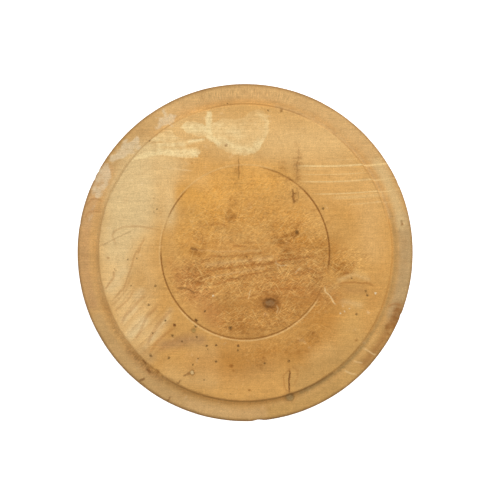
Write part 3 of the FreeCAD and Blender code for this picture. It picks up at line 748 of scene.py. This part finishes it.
# Pale streaks at the right: height at x 40, the two ends, half width, strength.
STREAKS = [
    (46.2, 28, 79, 0.35, 0.85),
    (44.6, 30, 44, 0.15, 0.45),
    (41.7, 31, 66, 0.15, 0.45),
    (37.9, 31, 82, 0.3, 0.6),
    (31.3, 38, 84, 0.25, 0.6),
    (29.2, 46, 78, 0.9, 0.3),
    (25.3, 56, 82, 0.3, 0.3),
    (49.4, 44, 80, 0.1, 0.3),
]
# They bend up past x 40, and lie lower where the surface does.
STREAK_RISE = 0.0018
STREAK_RISE_START = 40.0
RIM_DIP = 0.23

# Nicks in the plate's edge: bearing in degrees, half width in degrees, depth.
EDGE_NICKS = [
    (151.0, 0.9, 0.25), (153.8, 1.1, 0.3), (170.0, 0.8, 0.2),
    (274.5, 2.6, 0.6), (338.0, 1.2, 0.3), (24.0, 1.0, 0.2),
]
RING_GAP = 6.4
# Marks stop this far below the plate's rim; points lower down are read as if they lay far away.
MARKED_DEPTH = 2.0
FAR_AWAY = 500.0
# Marks given by bearings fade out over this many degrees past their ends.
BEARING_FADE = 9
# Points further than this from every drawn line are all read as this far from one.
LINE_REACH = 4.0


def eased(values):
    values = np.clip(values, 0, 1)
    return values * values * (3 - 2 * values)


def along_path(points, path):
    """Seen from above: each point's distance from a path, and how far along the path it is, from 0 to 1."""
    path = np.array(path, float)
    lengths = np.linalg.norm(np.diff(path, axis=0), axis=1)
    gone = np.concatenate(([0], np.cumsum(lengths)))
    nearest = np.full(len(points), np.inf)
    shares = np.zeros(len(points))
    for start, end, length, before in zip(path, path[1:], lengths, gone):
        offset = points[:, :2] - start
        along = np.clip(offset @ (end - start) / length**2, 0, 1)
        away = np.linalg.norm(offset - along[:, None] * (end - start), axis=1)
        closer = away < nearest
        nearest[closer] = away[closer]
        shares[closer] = (before + along[closer] * length) / gone[-1]
    return nearest, shares


def end_shares(shares):
    """How near places along a line are to its ends: 0 over its middle, 1 at its tips."""
    return eased((np.abs(shares - 0.5) - 0.33) / 0.17)


def stroke_shares(points, stroke):
    """How strongly a stroke covers each point, from 0 to 1."""
    path, half_width, feather, strength = stroke
    away = along_path(points, path)[0]
    return eased((half_width + feather / 2 - away) / feather) * strength


def tapered_shares(points, stroke):
    """Like stroke_shares, but the feather lies outside the half width, and the stroke tapers to its ends."""
    path, half_width, feather, strength = stroke
    away, shares = along_path(points, path)
    away += end_shares(shares) * (half_width + feather)
    return eased((half_width + feather - away) / feather) * strength


def bearings_past(points, first, last):
    """How many degrees each point's bearing lies outside the arc from first to last."""
    bearing = np.degrees(np.arctan2(points[:, 1], points[:, 0]))
    from_middle = np.abs((bearing - (first + last) / 2 + 180) % 360 - 180)
    return np.maximum(from_middle - (last - first) / 2, 0)


def arc_shares(points, arc):
    """How strongly an arc covers each point, from 0 to 1."""
    radius, first, last, half_width, feather, strength = arc
    along = np.radians(bearings_past(points, first, last)) * radius
    across = np.hypot(points[:, 0], points[:, 1]) - radius
    return eased((half_width + feather / 2 - np.hypot(along, across)) / feather) * strength


def bearing_shares(points, span):
    """How strongly a span of bearings covers each point; it fades over BEARING_FADE past its ends."""
    first, last, strength = span
    return eased(1 - bearings_past(points, first, last) / BEARING_FADE) * strength


def strongest(points, marks, kind=stroke_shares):
    return np.max([kind(points, mark) for mark in marks], axis=0)


def nearest_line(points, lines):
    """For each point, how far off the nearest line's edge is and how strong that line is there."""
    gap = np.full(len(points), LINE_REACH)
    kept = np.zeros(len(points))
    for path, half_width, strength in lines:
        away, shares = along_path(points, path)
        closer = away - half_width < gap
        gap[closer] = (away - half_width)[closer]
        kept[closer] = ((1 - end_shares(shares)) * strength)[closer]
    return gap, kept


def shaken(points, size, amount, seed):
    """The points moved about sideways by smooth noise."""
    moved = points.copy()
    moved[:, 0] += amount * roughly(points, size, seed)
    moved[:, 1] += amount * roughly(points, size, seed + 1)
    return moved


def depth_inside(points, outline):
    """How far each point lies inside a closed outline; negative outside."""
    inside = np.zeros(len(points), bool)
    x, y = points[:, 0], points[:, 1]
    for (x0, y0), (x1, y1) in zip(outline, outline[1:] + outline[:1]):
        crosses = (y0 > y) != (y1 > y)
        if y1 != y0:
            inside ^= crosses & (x < x0 + (x1 - x0) * (y - y0) / (y1 - y0))
    away = along_path(points, outline + outline[:1])[0]
    return np.where(inside, away, -away)


def plate_tints(points):
    """The plate's slow changes of colour, with painted shade and painted light at the step and the outer edge.
    """
    moved, moved_finely = shaken(points, 18, 4, 3), shaken(points, 6, 0.7, 16)
    layers = [(tone, stroke_shares(moved, stroke)) for tone, *stroke in TINTS]
    layers += [(LENS_TONE, stroke_shares(moved_finely, lens)) for lens in LENSES]
    layers += [(tone, arc_shares(points, arc)) for tone, *arc in ARC_TINTS_AND_PAINTED_SHADING]
    layers.append((SIDE_TONE, eased((RIM_LEVEL - 1 - points[:, 2]) / 2)))
    tint = np.tile(srgb(FACE_TONE), (len(points), 1))
    for tone, shares in layers:
        tint = tint * (1 - shares[:, None]) + np.array(srgb(tone)) * shares[:, None]
    return tint


def plate_stains(points):
    """Brown stains and soft spots."""
    moved = shaken(points, 3, 0.7, 13)
    x, y, radius = np.array(SOFT_SPOTS).T
    away = np.hypot(moved[:, :1] - x, moved[:, 1:2] - y)
    spots = np.max(eased(1.4 - away / (radius * 1.15)), axis=1) * 0.62
    return np.maximum(strongest(moved, STAINS, tapered_shares), spots)


def growth_rings(points):
    """Counts growth rings over the face: nearly level at the right, falling steeply at the lower left."""
    x, y = points[:, 0], points[:, 1]
    knot_x, knot_y = KNOTS[0][:2]
    fall = 8 * np.log1p(np.exp(-(x + 27) / 8))
    rise = 0.08 * np.maximum(x + 20, 0)
    wave = 2.6 * roughly(points, 26, 9) + 0.9 * roughly(points, 9, 10)
    knot_bend = 5 * np.exp(-((x - knot_x) ** 2 + (y - knot_y) ** 2) / 60)
    return (y + fall - rise + wave + knot_bend) / RING_GAP


def bleach_shares(points):
    """Where the plate is bleached, from 0 to 1, with soft edges for the material to sharpen."""
    moved = shaken(points, 4, 0.9, 5)
    depth = np.max([depth_inside(moved, outline) for outline in BLEACHED], axis=0)
    return np.clip(0.5 + depth / 3, 0, 1) - 0.7 * strongest(moved, BLEACH_GAPS)


def plate_attributes(points):
    """Everything that the plate's material reads at its points. Only the upper side is marked."""
    marked = points.copy()
    marked[points[:, 2] < RIM_LEVEL - MARKED_DEPTH, 0] += FAR_AWAY
    attributes = {
        "tint": plate_tints(points),
        "bleach": bleach_shares(marked),
        "cream": strongest(marked, CREAM_STROKES),
        "chalk": strongest(shaken(marked, 3, 0.8, 17), CHALK_STROKES),
        "chatter": strongest(marked, CHATTER_ARCS, arc_shares),
        "worn": strongest(marked, WORN_STROKES),
        "rings": growth_rings(points),
        "figure": strongest(shaken(marked, 12, 5, 7), FIGURE_STROKES),
        "stain": plate_stains(marked),
        "scribe": strongest(points, SCRIBE_DARK, bearing_shares),
        "scribe_lit": strongest(points, SCRIBE_LIT, bearing_shares),
        "lip": strongest(points, LIP_DARK, bearing_shares),
    }
    lines = {
        "contour": (shaken(marked, 8, 1.0, 15), FIGURE_LINES),
        "crack": (shaken(marked, 3, 0.6, 18), CRACKS),
        "scratch": (shaken(marked, 3, 0.6, 19), PALE_LINES),
    }
    for name, (moved, paths) in lines.items():
        attributes[name + "_gap"], attributes[name] = nearest_line(moved, paths)
    return attributes


# ---------------------------------------------------------------- the press plate's material

LATE_WOOD = (172, 114, 58)
SIDE_LATE_WOOD = (158, 104, 56)
BLEACH_TONE = (247, 219, 160)
CHALK_TONE = (234, 213, 174)
STREAK_TONE = (244, 208, 144)
DARK_SCRATCH = (156, 100, 48)
PALE_SCRATCH = (237, 187, 112)
STAIN_TONE = (144, 84, 22)
WORN_DARK = (156, 94, 36)
WORN_PALE = (233, 181, 104)
GROWTH_LINE = (164, 100, 42)
KNOT_HALO = (160, 104, 48)
PALE_CUT = (242, 205, 146)
CRACK_TONE = (122, 74, 30)
SPECK_TONE = (100, 70, 32)
CHIP_TONE = (240, 220, 180)
SCRIBE_LIT_TONE = (238, 194, 128)
SCRIBE_TONE = (146, 92, 36)
LIP_TONE = (150, 106, 56)
SMUDGE_TONE = (164, 100, 34)
# Bearings in degrees of the fine scratches and of the dabs of colour between them.
DARK_BEARINGS = (40, -20, 15, 75)
PALE_BEARINGS = (28, 37, 49, 64, -35, 8, 118)
DAB_BEARINGS = (38, -28)


class PlateGraph(Graph):
    """The press plate's material. Most of its methods lay one kind of mark over a colour."""

    def __init__(self):
        super().__init__("worn_plate_wood")
        self.here = self.place()
        self.x, self.y, self.z = self.parts(self.here)
        self.fibre = wood_fibre(self, self.here)
        self.mottle = self.noise(self.here, 0.45, 3.0, 0.6)
        self.broad = self.noise(self.here, 0.2, 4.0, 0.62)
        self.grain = self.noise(self.here, (1.3, 2.1, 1.7), 3.0, 0.66)
        self.worn = self.attribute("worn")
        # 1 on the plate's side and underside, 0 on its upper side.
        self.lower = self.band(self.z, RIM_LEVEL - 2.5, RIM_LEVEL - 0.5, 1.0, 0.0)
        # The place seen from above; places below the rim are moved far off the face.
        below = self.times(self.math("MAXIMUM", self.minus(RIM_LEVEL - 3, self.z), 0.0), 10.0)
        self.flat = self.joined(self.x, self.y, below)
        self.sway = self.push(0.9, 2.0, 1.4)

    def push(self, scale, detail, reach):
        """A push in X and Y by noise, by up to half of reach either way."""
        swing = self.vector("SUBTRACT", self.noise(self.here, scale, detail, 0.6, output=1), (0.5, 0.5, 0.5))
        return self.vector("MULTIPLY", swing, (reach, reach, 0))

    def turned(self, place, bearing, along_scale, across_scale):
        """The place in a frame turned to a bearing, scaled along it and across it."""
        turn = math.radians(bearing)
        east, north = math.cos(turn), math.sin(turn)
        along = self.vector("DOT_PRODUCT", place, (east * along_scale, north * along_scale, 0))
        across = self.vector("DOT_PRODUCT", place, (-north * across_scale, east * across_scale, 0))
        return self.joined(along, across, 0.0)

    def radius_out(self):
        """The distance from the axis, allowing for the plate's being out of round."""
        out = self.vector("LENGTH", self.vector("ADD", self.flat, self.scaled(self.sway, 0.35)))
        egg = self.math("DIVIDE", self.minus(self.times(self.x, self.x), self.times(self.y, self.y)), out)
        return self.plus(out, self.times(egg, OUT_OF_ROUND_CENTRE))

    def growth(self, colour):
        """Growth rings, on the face where they show and all over the side."""
        late = self.math("POWER", self.math("FRACT", self.attribute("rings")), 3.0)
        colour = self.mix(self.times(late, self.attribute("figure"), 0.5), colour, LATE_WOOD)
        moved = self.vector("ADD", self.here, (900.0, 40.0, 0.0))
        side_rings = wood_figure(self, moved, (30.0, 20.0), 4.0)
        return self.mix(self.times(side_rings, self.lower, 0.45), colour, SIDE_LATE_WOOD)

    def bleached(self, colour):
        """Bleached patches and chalky deposits."""
        ragged = self.added(self.mottle, self.fibre, 0.7)
        bleach = self.added(self.attribute("bleach"), ragged, 0.7)
        cream = self.band(self.added(self.attribute("cream"), self.broad, 0.8), 0.0, 1.0, 0.22, 1.0)
        cover = self.times(self.band(bleach, 0.42, 0.6), cream, self.band(ragged, 0.3, 0.62, 0.62, 1.0))
        colour = self.mix(cover, colour, BLEACH_TONE)
        chalk = self.added(self.added(self.attribute("chalk"), self.broad, 1.6), self.mottle, 0.8)
        return self.mix(self.band(chalk, 0.2, 0.9, 0.0, 0.6), colour, CHALK_TONE)

    def streaked(self, colour):
        """Pale streaks along the grain."""
        drop = self.math("MAXIMUM", self.minus(FACE_LEVEL, self.z), 0.0)
        past = self.minus(self.x, STREAK_RISE_START)
        course = self.plus(self.y, self.times(drop, RIM_DIP))
        course = self.added(self.minus(course, self.times(past, past, STREAK_RISE)), self.fibre, 0.6)
        shares = []
        for height, first, last, half_width, strength in STREAKS:
            away = self.apart(course, height)
            share = self.band(away, half_width * 0.4, half_width * 1.6 + 0.2, strength, 0.0)
            share = self.times(share, self.band(self.x, first - 4, first + 6))
            shares.append(self.times(share, self.band(self.x, last - 8, last + 3, 1.0, 0.0)))
        return self.mix(self.times(self.most(shares), self.minus(1.0, self.lower)), colour, STREAK_TONE)

    def scratches(self, bearings, spacing):
        """Broken scratches that run roughly along some bearings, strongest where the plate is worn."""
        shares = []
        for bearing in bearings:
            moved = self.vector("ADD", self.here, (bearing * 0.7, bearing * 1.3, 0))
            lines = self.noise(self.turned(moved, bearing, 0.035 / spacing, 1 / spacing), 1.0, 0.0)
            gaps = self.noise(self.turned(moved, bearing + 3, 0.25 / spacing, 1.6 / spacing), 1.0, 0.0)
            near = self.band(self.apart(lines, 0.5), 0.0, 0.05, 1.0, 0.0)
            shares.append(self.times(near, self.band(gaps, 0.5, 0.62)))
        return self.times(self.most(shares), self.worn)

    def worn_and_stained(self, colour):
        """Fine scratches and brown stains."""
        colour = self.mix(self.times(self.scratches(DARK_BEARINGS, 1.3), 0.5), colour, DARK_SCRATCH)
        patchy = self.noise(self.here, (0.3, 0.5, 0.4), 5.0, 0.75)
        stains = self.added(self.attribute("stain"), patchy, 1.5)
        colour = self.mix(self.band(stains, 0.1, 0.85, 0.0, 0.66), colour, STAIN_TONE)
        darker = self.times(self.band(patchy, 0.53, 0.7), self.worn, 0.42)
        colour = self.mix(darker, colour, WORN_DARK)
        paler = self.times(self.band(patchy, 0.32, 0.46, 1.0, 0.0), self.worn, 0.3)
        colour = self.mix(paler, colour, WORN_PALE)
        return self.mix(self.times(self.scratches(PALE_BEARINGS, 1.4), 0.7), colour, PALE_SCRATCH)

    def drawn_lines(self, name, texture, fray, feather):
        """The lines that nearest_line found, with edges frayed by a texture, from 0 to 1."""
        gap = self.added(self.attribute(name + "_gap"), texture, fray)
        return self.times(self.band(gap, 0.0, feather, 1.0, 0.0), self.attribute(name))

    def knot(self, colour, mark):
        """A knot's soft halo, grey or pale core and broken dark ring."""
        x, y, radius, wide, halo, ring_tone, core_tone = mark
        offset = self.vector("SUBTRACT", self.vector("ADD", self.flat, self.sway), (x, y, 0))
        away = self.vector("LENGTH", self.vector("MULTIPLY", offset, (1 / wide, 1, 1)))
        away = self.added(away, self.broad, radius * 1.3)
        colour = self.mix(self.band(away, radius, radius * 2.8, halo, 0.0), colour, KNOT_HALO)
        colour = self.mix(self.band(away, radius * 0.6, radius, 0.8, 0.0), colour, core_tone)
        ring = self.band(self.apart(away, radius), radius * 0.04, radius * 0.5, 1.0, 0.0)
        return self.mix(self.times(ring, self.band(self.broad, 0.35, 0.6, 0.25, 0.85)), colour, ring_tone)

    def spots(self, place, marks, strength):
        """Small round marks with soft edges."""
        shares = []
        for x, y, radius in marks:
            away = self.vector("DISTANCE", place, (x, y, 0))
            shares.append(self.band(away, radius * 0.2, radius * 1.8, strength, 0.0))
        return self.most(shares)

    def marked(self, colour):
        """Growth lines, knots, cuts, cracks, specks and chips."""
        grown = self.times(self.drawn_lines("contour", self.fibre, 0.6, 0.9), 0.85)
        colour = self.mix(grown, colour, GROWTH_LINE)
        for mark in KNOTS:
            colour = self.knot(colour, mark)
        colour = self.mix(self.drawn_lines("scratch", self.grain, 0.8, 0.5), colour, PALE_CUT)
        colour = self.mix(self.drawn_lines("crack", self.grain, 0.8, 0.65), colour, CRACK_TONE)
        frayed = self.vector("ADD", self.flat, self.push(2.1, 1.0, 1.5))
        colour = self.mix(self.spots(frayed, SPECKS, 0.85), colour, SPECK_TONE)
        return self.mix(self.spots(frayed, CHIPS, 1.0), colour, CHIP_TONE)

    def scribed(self, colour):
        """The scribed circle with its lit edge, and the dark lip of the step."""
        out = self.radius_out()
        lit = self.band(self.apart(out, SCRIBE_RADIUS + 0.8), 0.1, 0.7, 1.0, 0.0)
        colour = self.mix(self.times(lit, self.attribute("scribe_lit")), colour, SCRIBE_LIT_TONE)
        line = self.band(self.apart(out, SCRIBE_RADIUS), 0.05, 0.75, 0.85, 0.0)
        colour = self.mix(self.times(line, self.attribute("scribe")), colour, SCRIBE_TONE)
        lip = self.band(self.apart(out, RAISED_RADIUS - 0.2), 0.0, 0.7, 1.0, 0.0)
        return self.mix(self.times(lip, self.attribute("lip")), colour, LIP_TONE)

    def chattered(self, colour):
        """Short radial ripples where the turning tool chattered."""
        turn = self.math("ARCTAN2", self.y, self.x)
        place = self.joined(self.times(turn, 110.0), self.times(self.radius_out(), 0.3), 0.0)
        return self.mottled(colour, self.noise(place, 1.0, 1.0), self.times(self.attribute("chatter"), 0.22))

    def textured(self, colour):
        """Smudges, broad clouds, fibre and fine grain."""
        moved = self.vector("ADD", self.scaled(self.here, 0.16), (31.0, 7.0, 0.0))
        smudged = self.band(self.noise(moved, 1.0, 5.0, 0.7), 0.5, 0.72)
        smudged = self.times(smudged, self.band(self.worn, 0.0, 1.0, 0.14, 0.5))
        colour = self.mix(smudged, colour, SMUDGE_TONE)
        cloud = self.noise(self.here, (0.045, 0.075, 0.06), 5.0, 0.66)
        rays = self.noise(self.here, (1.9, 0.22, 0.4), 2.0, 0.6)
        textures = (cloud, 0.09), (self.fibre, 0.16), (rays, 0.045), (self.mottle, 0.08), (self.grain, 0.22)
        for texture, amount in textures:
            colour = self.mottled(colour, texture, amount)
        for bearing in DAB_BEARINGS:
            dab = self.noise(self.turned(self.here, bearing, 0.4, 1.7), 1.0, 2.0, 0.6)
            colour = self.mottled(colour, dab, self.times(self.worn, 0.24))
        return colour


def plate_material():
    graph = PlateGraph()
    colour = graph.attribute("tint", 0)
    for lay in (
        graph.growth,
        graph.bleached,
        graph.streaked,
        graph.worn_and_stained,
        graph.marked,
        graph.scribed,
        graph.chattered,
        graph.textured,
    ):
        colour = lay(colour)
    return graph.surface(colour, 0.75, graph.times(graph.fibre, 0.1), 0.15)


# ---------------------------------------------------------------- the pieces


def wear_plate(points):
    """Fills the scribed groove where it is worn, and lets the plate shrink out of round and undulate."""
    radius = np.hypot(points[:, 0], points[:, 1])
    bearing = np.arctan2(points[:, 1], points[:, 0])
    on_face = points[:, 2] > FACE_LEVEL - SCRIBE_DEPTH - TINY
    groove = on_face & (radius < SCRIBE_RADIUS + 2)
    kept = 0.3 + 0.6 * strongest(points, SCRIBE_DARK, bearing_shares)
    points[groove, 2] = FACE_LEVEL - (FACE_LEVEL - points[groove, 2]) * kept[groove]
    outer = np.clip(1 - (DISC_RADIUS - radius) / 3, 0, 1)
    for middle, half_width, depth in EDGE_NICKS:
        nicked = eased(1 - bearings_past(points, middle, middle) / half_width) * outer
        points[:, :2] *= 1 - (nicked * depth / DISC_RADIUS)[:, None]
    inwards = np.clip((DISC_RADIUS - radius) / (DISC_RADIUS - SCRIBE_RADIUS), 0, 1)
    swell = OUT_OF_ROUND_EDGE + (OUT_OF_ROUND_CENTRE - OUT_OF_ROUND_EDGE) * inwards
    loose = (points[:, 2] > RIM_LEVEL - RIM_THICKNESS - TINY) & (radius > BOSS_RADIUS + 5) | on_face
    factor = np.where(loose, 1 - swell * np.cos(2 * bearing), 1)
    points[:, :2] *= factor[:, None]
    upper = points[:, 2] > RIM_LEVEL - 1
    points[upper, 2] += 0.12 * roughly(points[upper], 30, 12)


def make_plate():
    top = FACE_LEVEL
    under = RIM_LEVEL - RIM_THICKNESS + CONTACT_GAP
    bottom = PLATE_LOW[2]
    outline = rounded([
        (0, top, 0),
        (SCRIBE_RADIUS - SCRIBE_HALF_WIDTH, top, 0),
        (SCRIBE_RADIUS, top - SCRIBE_DEPTH, 0),
        (SCRIBE_RADIUS + SCRIBE_HALF_WIDTH, top, 0),
        (RAISED_RADIUS, top, STEP_LIP),
        (RAISED_RADIUS, RIM_LEVEL, STEP_HOLLOW),
        (DISC_RADIUS, RIM_LEVEL, RIM_ROUND),
        (DISC_RADIUS, under, RIM_ROUND),
        (BOSS_RADIUS, under, BOSS_HOLLOW),
        (BOSS_RADIUS, bottom, BOSS_ROUND),
        (TENON_RADIUS, bottom, 0),
        (TENON_RADIUS, bottom + SOCKET_DEPTH, 0),
        (0, bottom + SOCKET_DEPTH, 0),
    ])
    # The upper side is finely divided, because its marks are read at the mesh's points.
    split = next(number for number, point in enumerate(outline) if point[1] < RIM_LEVEL - 2 * RIM_ROUND)
    upper = divided(outline[: split + 1], 0.65)
    lower = divided(outline[split:], 3.0)[1:]
    shape = lathe("press_plate_wood", np.vstack((upper, lower)), 720)
    knock_edges(shape, 0.5, 12, 20)
    wear_plate(shape.points)
    attributes = plate_attributes(shape.points)
    finish_mesh(shape, "plunger", "press_plate", plate_material(), attributes)


def make_ring():
    outside, low, high = RING_HIGH[0], RING_LOW[2], RING_HIGH[2]
    waist = outside - BAND_RELIEF
    corners = [
        (RING_BORE, high, RING_EDGE_ROUND),
        (outside, high, RING_EDGE_ROUND),
        (outside, high - BAND_HEIGHT, RING_EDGE_ROUND),
        (waist, high - BAND_HEIGHT, 0),
    ]
    levels = [high - inset for inset in LINE_INSETS] + [low + inset for inset in reversed(LINE_INSETS)]
    for level in levels:
        corners.append((waist, level + LINE_HALF_WIDTH, 0))
        corners.append((waist - LINE_HALF_WIDTH, level, 0))
        corners.append((waist, level - LINE_HALF_WIDTH, 0))
    corners += [
        (waist, low + BAND_HEIGHT, 0),
        (outside, low + BAND_HEIGHT, RING_EDGE_ROUND),
        (outside, low, RING_EDGE_ROUND),
        (RING_BORE, low, RING_EDGE_ROUND),
    ]
    profile = divided(rounded(corners), 1.4, closed=True)
    shape = lathe("mold_ring_wood", profile, 420, closed=True)
    knock_edges(shape, 0.8, 14, 21)
    material = plain_wood("turned_ring_wood", (206, 160, 104), (160, 112, 64), seed=2)
    finish_mesh(shape, "ring", "mold_ring", material)


def make_base():
    bottom = BASE_LOW[2]
    outline = rounded([
        (0, PRINT_LOW[2], 0),
        (PRINT_HIGH[0], PRINT_LOW[2], 0),
        (PRINT_HIGH[0], BASE_HIGH[2], PLUG_ROUND),
        (PUSHER_HIGH[0], BASE_HIGH[2], STEP_LIP),
        (PUSHER_HIGH[0], RING_LOW[2], PLUG_ROUND),
        (DISC_RADIUS, RING_LOW[2], RIM_ROUND),
        (DISC_RADIUS, bottom + RAISED_HEIGHT, RIM_ROUND),
        (RAISED_RADIUS, bottom + RAISED_HEIGHT, STEP_HOLLOW),
        (RAISED_RADIUS, bottom, STEP_LIP),
        (SCRIBE_RADIUS + SCRIBE_HALF_WIDTH, bottom, 0),
        (SCRIBE_RADIUS, bottom + SCRIBE_DEPTH, 0),
        (SCRIBE_RADIUS - SCRIBE_HALF_WIDTH, bottom, 0),
        (0, bottom, 0),
    ])
    shape = lathe("base_board_wood", divided(outline, 1.8), 420)
    knock_edges(shape, 0.9, 12, 22)
    material = plain_wood("turned_base_wood", (204, 158, 100), (156, 110, 62), seed=3, pith=(20.0, -90.0))
    finish_mesh(shape, "base", "base_board", material)


def make_pusher():
    low, high, edge = PUSHER_LOW[2], PUSHER_HIGH[2], PUSHER_HIGH[0]
    shoulder = high - BOSS_HEIGHT
    outline = rounded([
        (0, high - SOCKET_DEPTH, 0),
        (TENON_RADIUS, high - SOCKET_DEPTH, 0),
        (TENON_RADIUS, high, 0),
        (BOSS_RADIUS, high, BOSS_ROUND),
        (BOSS_RADIUS, shoulder, BOSS_HOLLOW),
        (edge, shoulder, PUSHER_ROUND),
        (edge, low, PUSHER_ROUND),
        (0, low, 0),
    ])
    shape = lathe("pusher_disc_wood", divided(outline, 2.5), 360)
    material = plain_wood("turned_pusher_wood", (214, 174, 120), (170, 124, 76), seed=4, pith=(-30.0, -70.0))
    finish_mesh(shape, "plunger", "pusher_disc", material)


def dress_cad_nodes():
    """Gives the CAD pieces that keep their own shape their wood."""
    stem = plain_wood(
        "stem_wood", (196, 150, 94), (150, 104, 58), grain="z", pith=(30.0, 12.0), gap=3.0, seed=5
    )
    peg = plain_wood(
        "peg_wood", (164, 118, 70), (120, 82, 46), grain="y", pith=(0.0, -14.0), gap=2.0, seed=6, turned=False
    )
    carved = plain_wood(
        "print_wood", (222, 186, 134), (184, 140, 92), pith=(-40.0, -120.0), gap=2.6, seed=7, turned=False
    )
    wood_of = {"plunger_stem": stem, "print_plate": carved}
    for node in ("stem_wedge_upper", "stem_wedge_lower", "upper_cross_pin", "lower_cross_pin", "print_pegs"):
        wood_of[node] = peg
    for node, material in wood_of.items():
        for slot in bpy.data.objects[node].material_slots:
            slot.material = material


# ---------------------------------------------------------------- floor, light and camera

FLOOR_SIZE = 60.0
KEY_AZIMUTH, KEY_HEIGHT_ANGLE, KEY_DISTANCE = 64.0, 42.0, 1.6
CAMERA_DISTANCE = 4.0
IMAGE_HALF_WIDTH = 133.7
DISC_OFFSET = (-2.6, -1.4)


def make_floor():
    bpy.ops.mesh.primitive_plane_add(size=FLOOR_SIZE, location=(0, 0, 0))
    floor = bpy.context.object
    floor.name = "studio_floor"
    graph = Graph("pale_floor")
    white = (0.93, 0.93, 0.93, 1)
    matt = graph.add("ShaderNodeBsdfDiffuse", {"Color": white})
    slant = graph.add("ShaderNodeLayerWeight", {"Blend": 0.5}, 1)
    strength = graph.band(slant, 0.1, 0.5, 0.9, 0.4)
    glow = graph.add("ShaderNodeEmission", {"Color": (1, 1, 1, 1), "Strength": strength})
    seen = graph.add("ShaderNodeLightPath", {}, 0)
    lit = graph.add("ShaderNodeAddShader", {0: matt, 1: glow})
    graph.add("ShaderNodeOutputMaterial", {0: graph.add("ShaderNodeMixShader", {0: seen, 1: matt, 2: lit})})
    floor.data.materials.append(graph.material)


def make_world():
    world = bpy.data.worlds.new("studio")
    world.use_nodes = True
    tree = world.node_tree
    tree.nodes.clear()
    light = tree.nodes.new("ShaderNodeBackground")
    light.inputs["Strength"].default_value = 0.84
    seen = tree.nodes.new("ShaderNodeBackground")
    seen.inputs["Color"].default_value = (1, 1, 1, 1)
    seen.inputs["Strength"].default_value = 1.1
    path = tree.nodes.new("ShaderNodeLightPath")
    mix = tree.nodes.new("ShaderNodeMixShader")
    out = tree.nodes.new("ShaderNodeOutputWorld")
    tree.links.new(path.outputs[0], mix.inputs[0])
    tree.links.new(light.outputs[0], mix.inputs[1])
    tree.links.new(seen.outputs[0], mix.inputs[2])
    tree.links.new(mix.outputs[0], out.inputs[0])
    bpy.context.scene.world = world


def add_softbox(name, azimuth, height_angle, distance, size, power):
    """A square light at a bearing from +X towards +Y, aimed at the middle of the mold."""
    turn, rise = math.radians(azimuth), math.radians(height_angle)
    away = Vector((math.cos(turn) * math.cos(rise), math.sin(turn) * math.cos(rise), math.sin(rise)))
    lamp = bpy.data.lights.new(name, "AREA")
    lamp.shape = "SQUARE"
    lamp.size = size
    lamp.energy = power
    light = bpy.data.objects.new(name, lamp)
    light.location = away * distance + Vector((0, 0, FACE_LEVEL * MM / 2))
    light.rotation_euler = away.to_track_quat("Z", "Y").to_euler()
    bpy.context.scene.collection.objects.link(light)


def make_camera():
    """A long lens straight above the disc, with the top of the picture towards +Y."""
    lens = bpy.data.cameras.new("camera")
    lens.sensor_width = 36.0
    lens.lens = lens.sensor_width / 2 * CAMERA_DISTANCE / (IMAGE_HALF_WIDTH * MM)
    lens.clip_end = 20.0
    camera = bpy.data.objects.new("camera", lens)
    camera.location = (-DISC_OFFSET[0] * MM, -DISC_OFFSET[1] * MM, RIM_LEVEL * MM + CAMERA_DISTANCE)
    bpy.context.scene.collection.objects.link(camera)
    bpy.context.scene.camera = camera


make_plate()
make_ring()
make_base()
make_pusher()
dress_cad_nodes()
make_floor()
make_world()
add_softbox("key", KEY_AZIMUTH, KEY_HEIGHT_ANGLE, KEY_DISTANCE, 0.9, 10.0)
make_camera()
bpy.context.scene.view_settings.view_transform = "Standard"
bpy.context.scene.view_settings.look = "None"
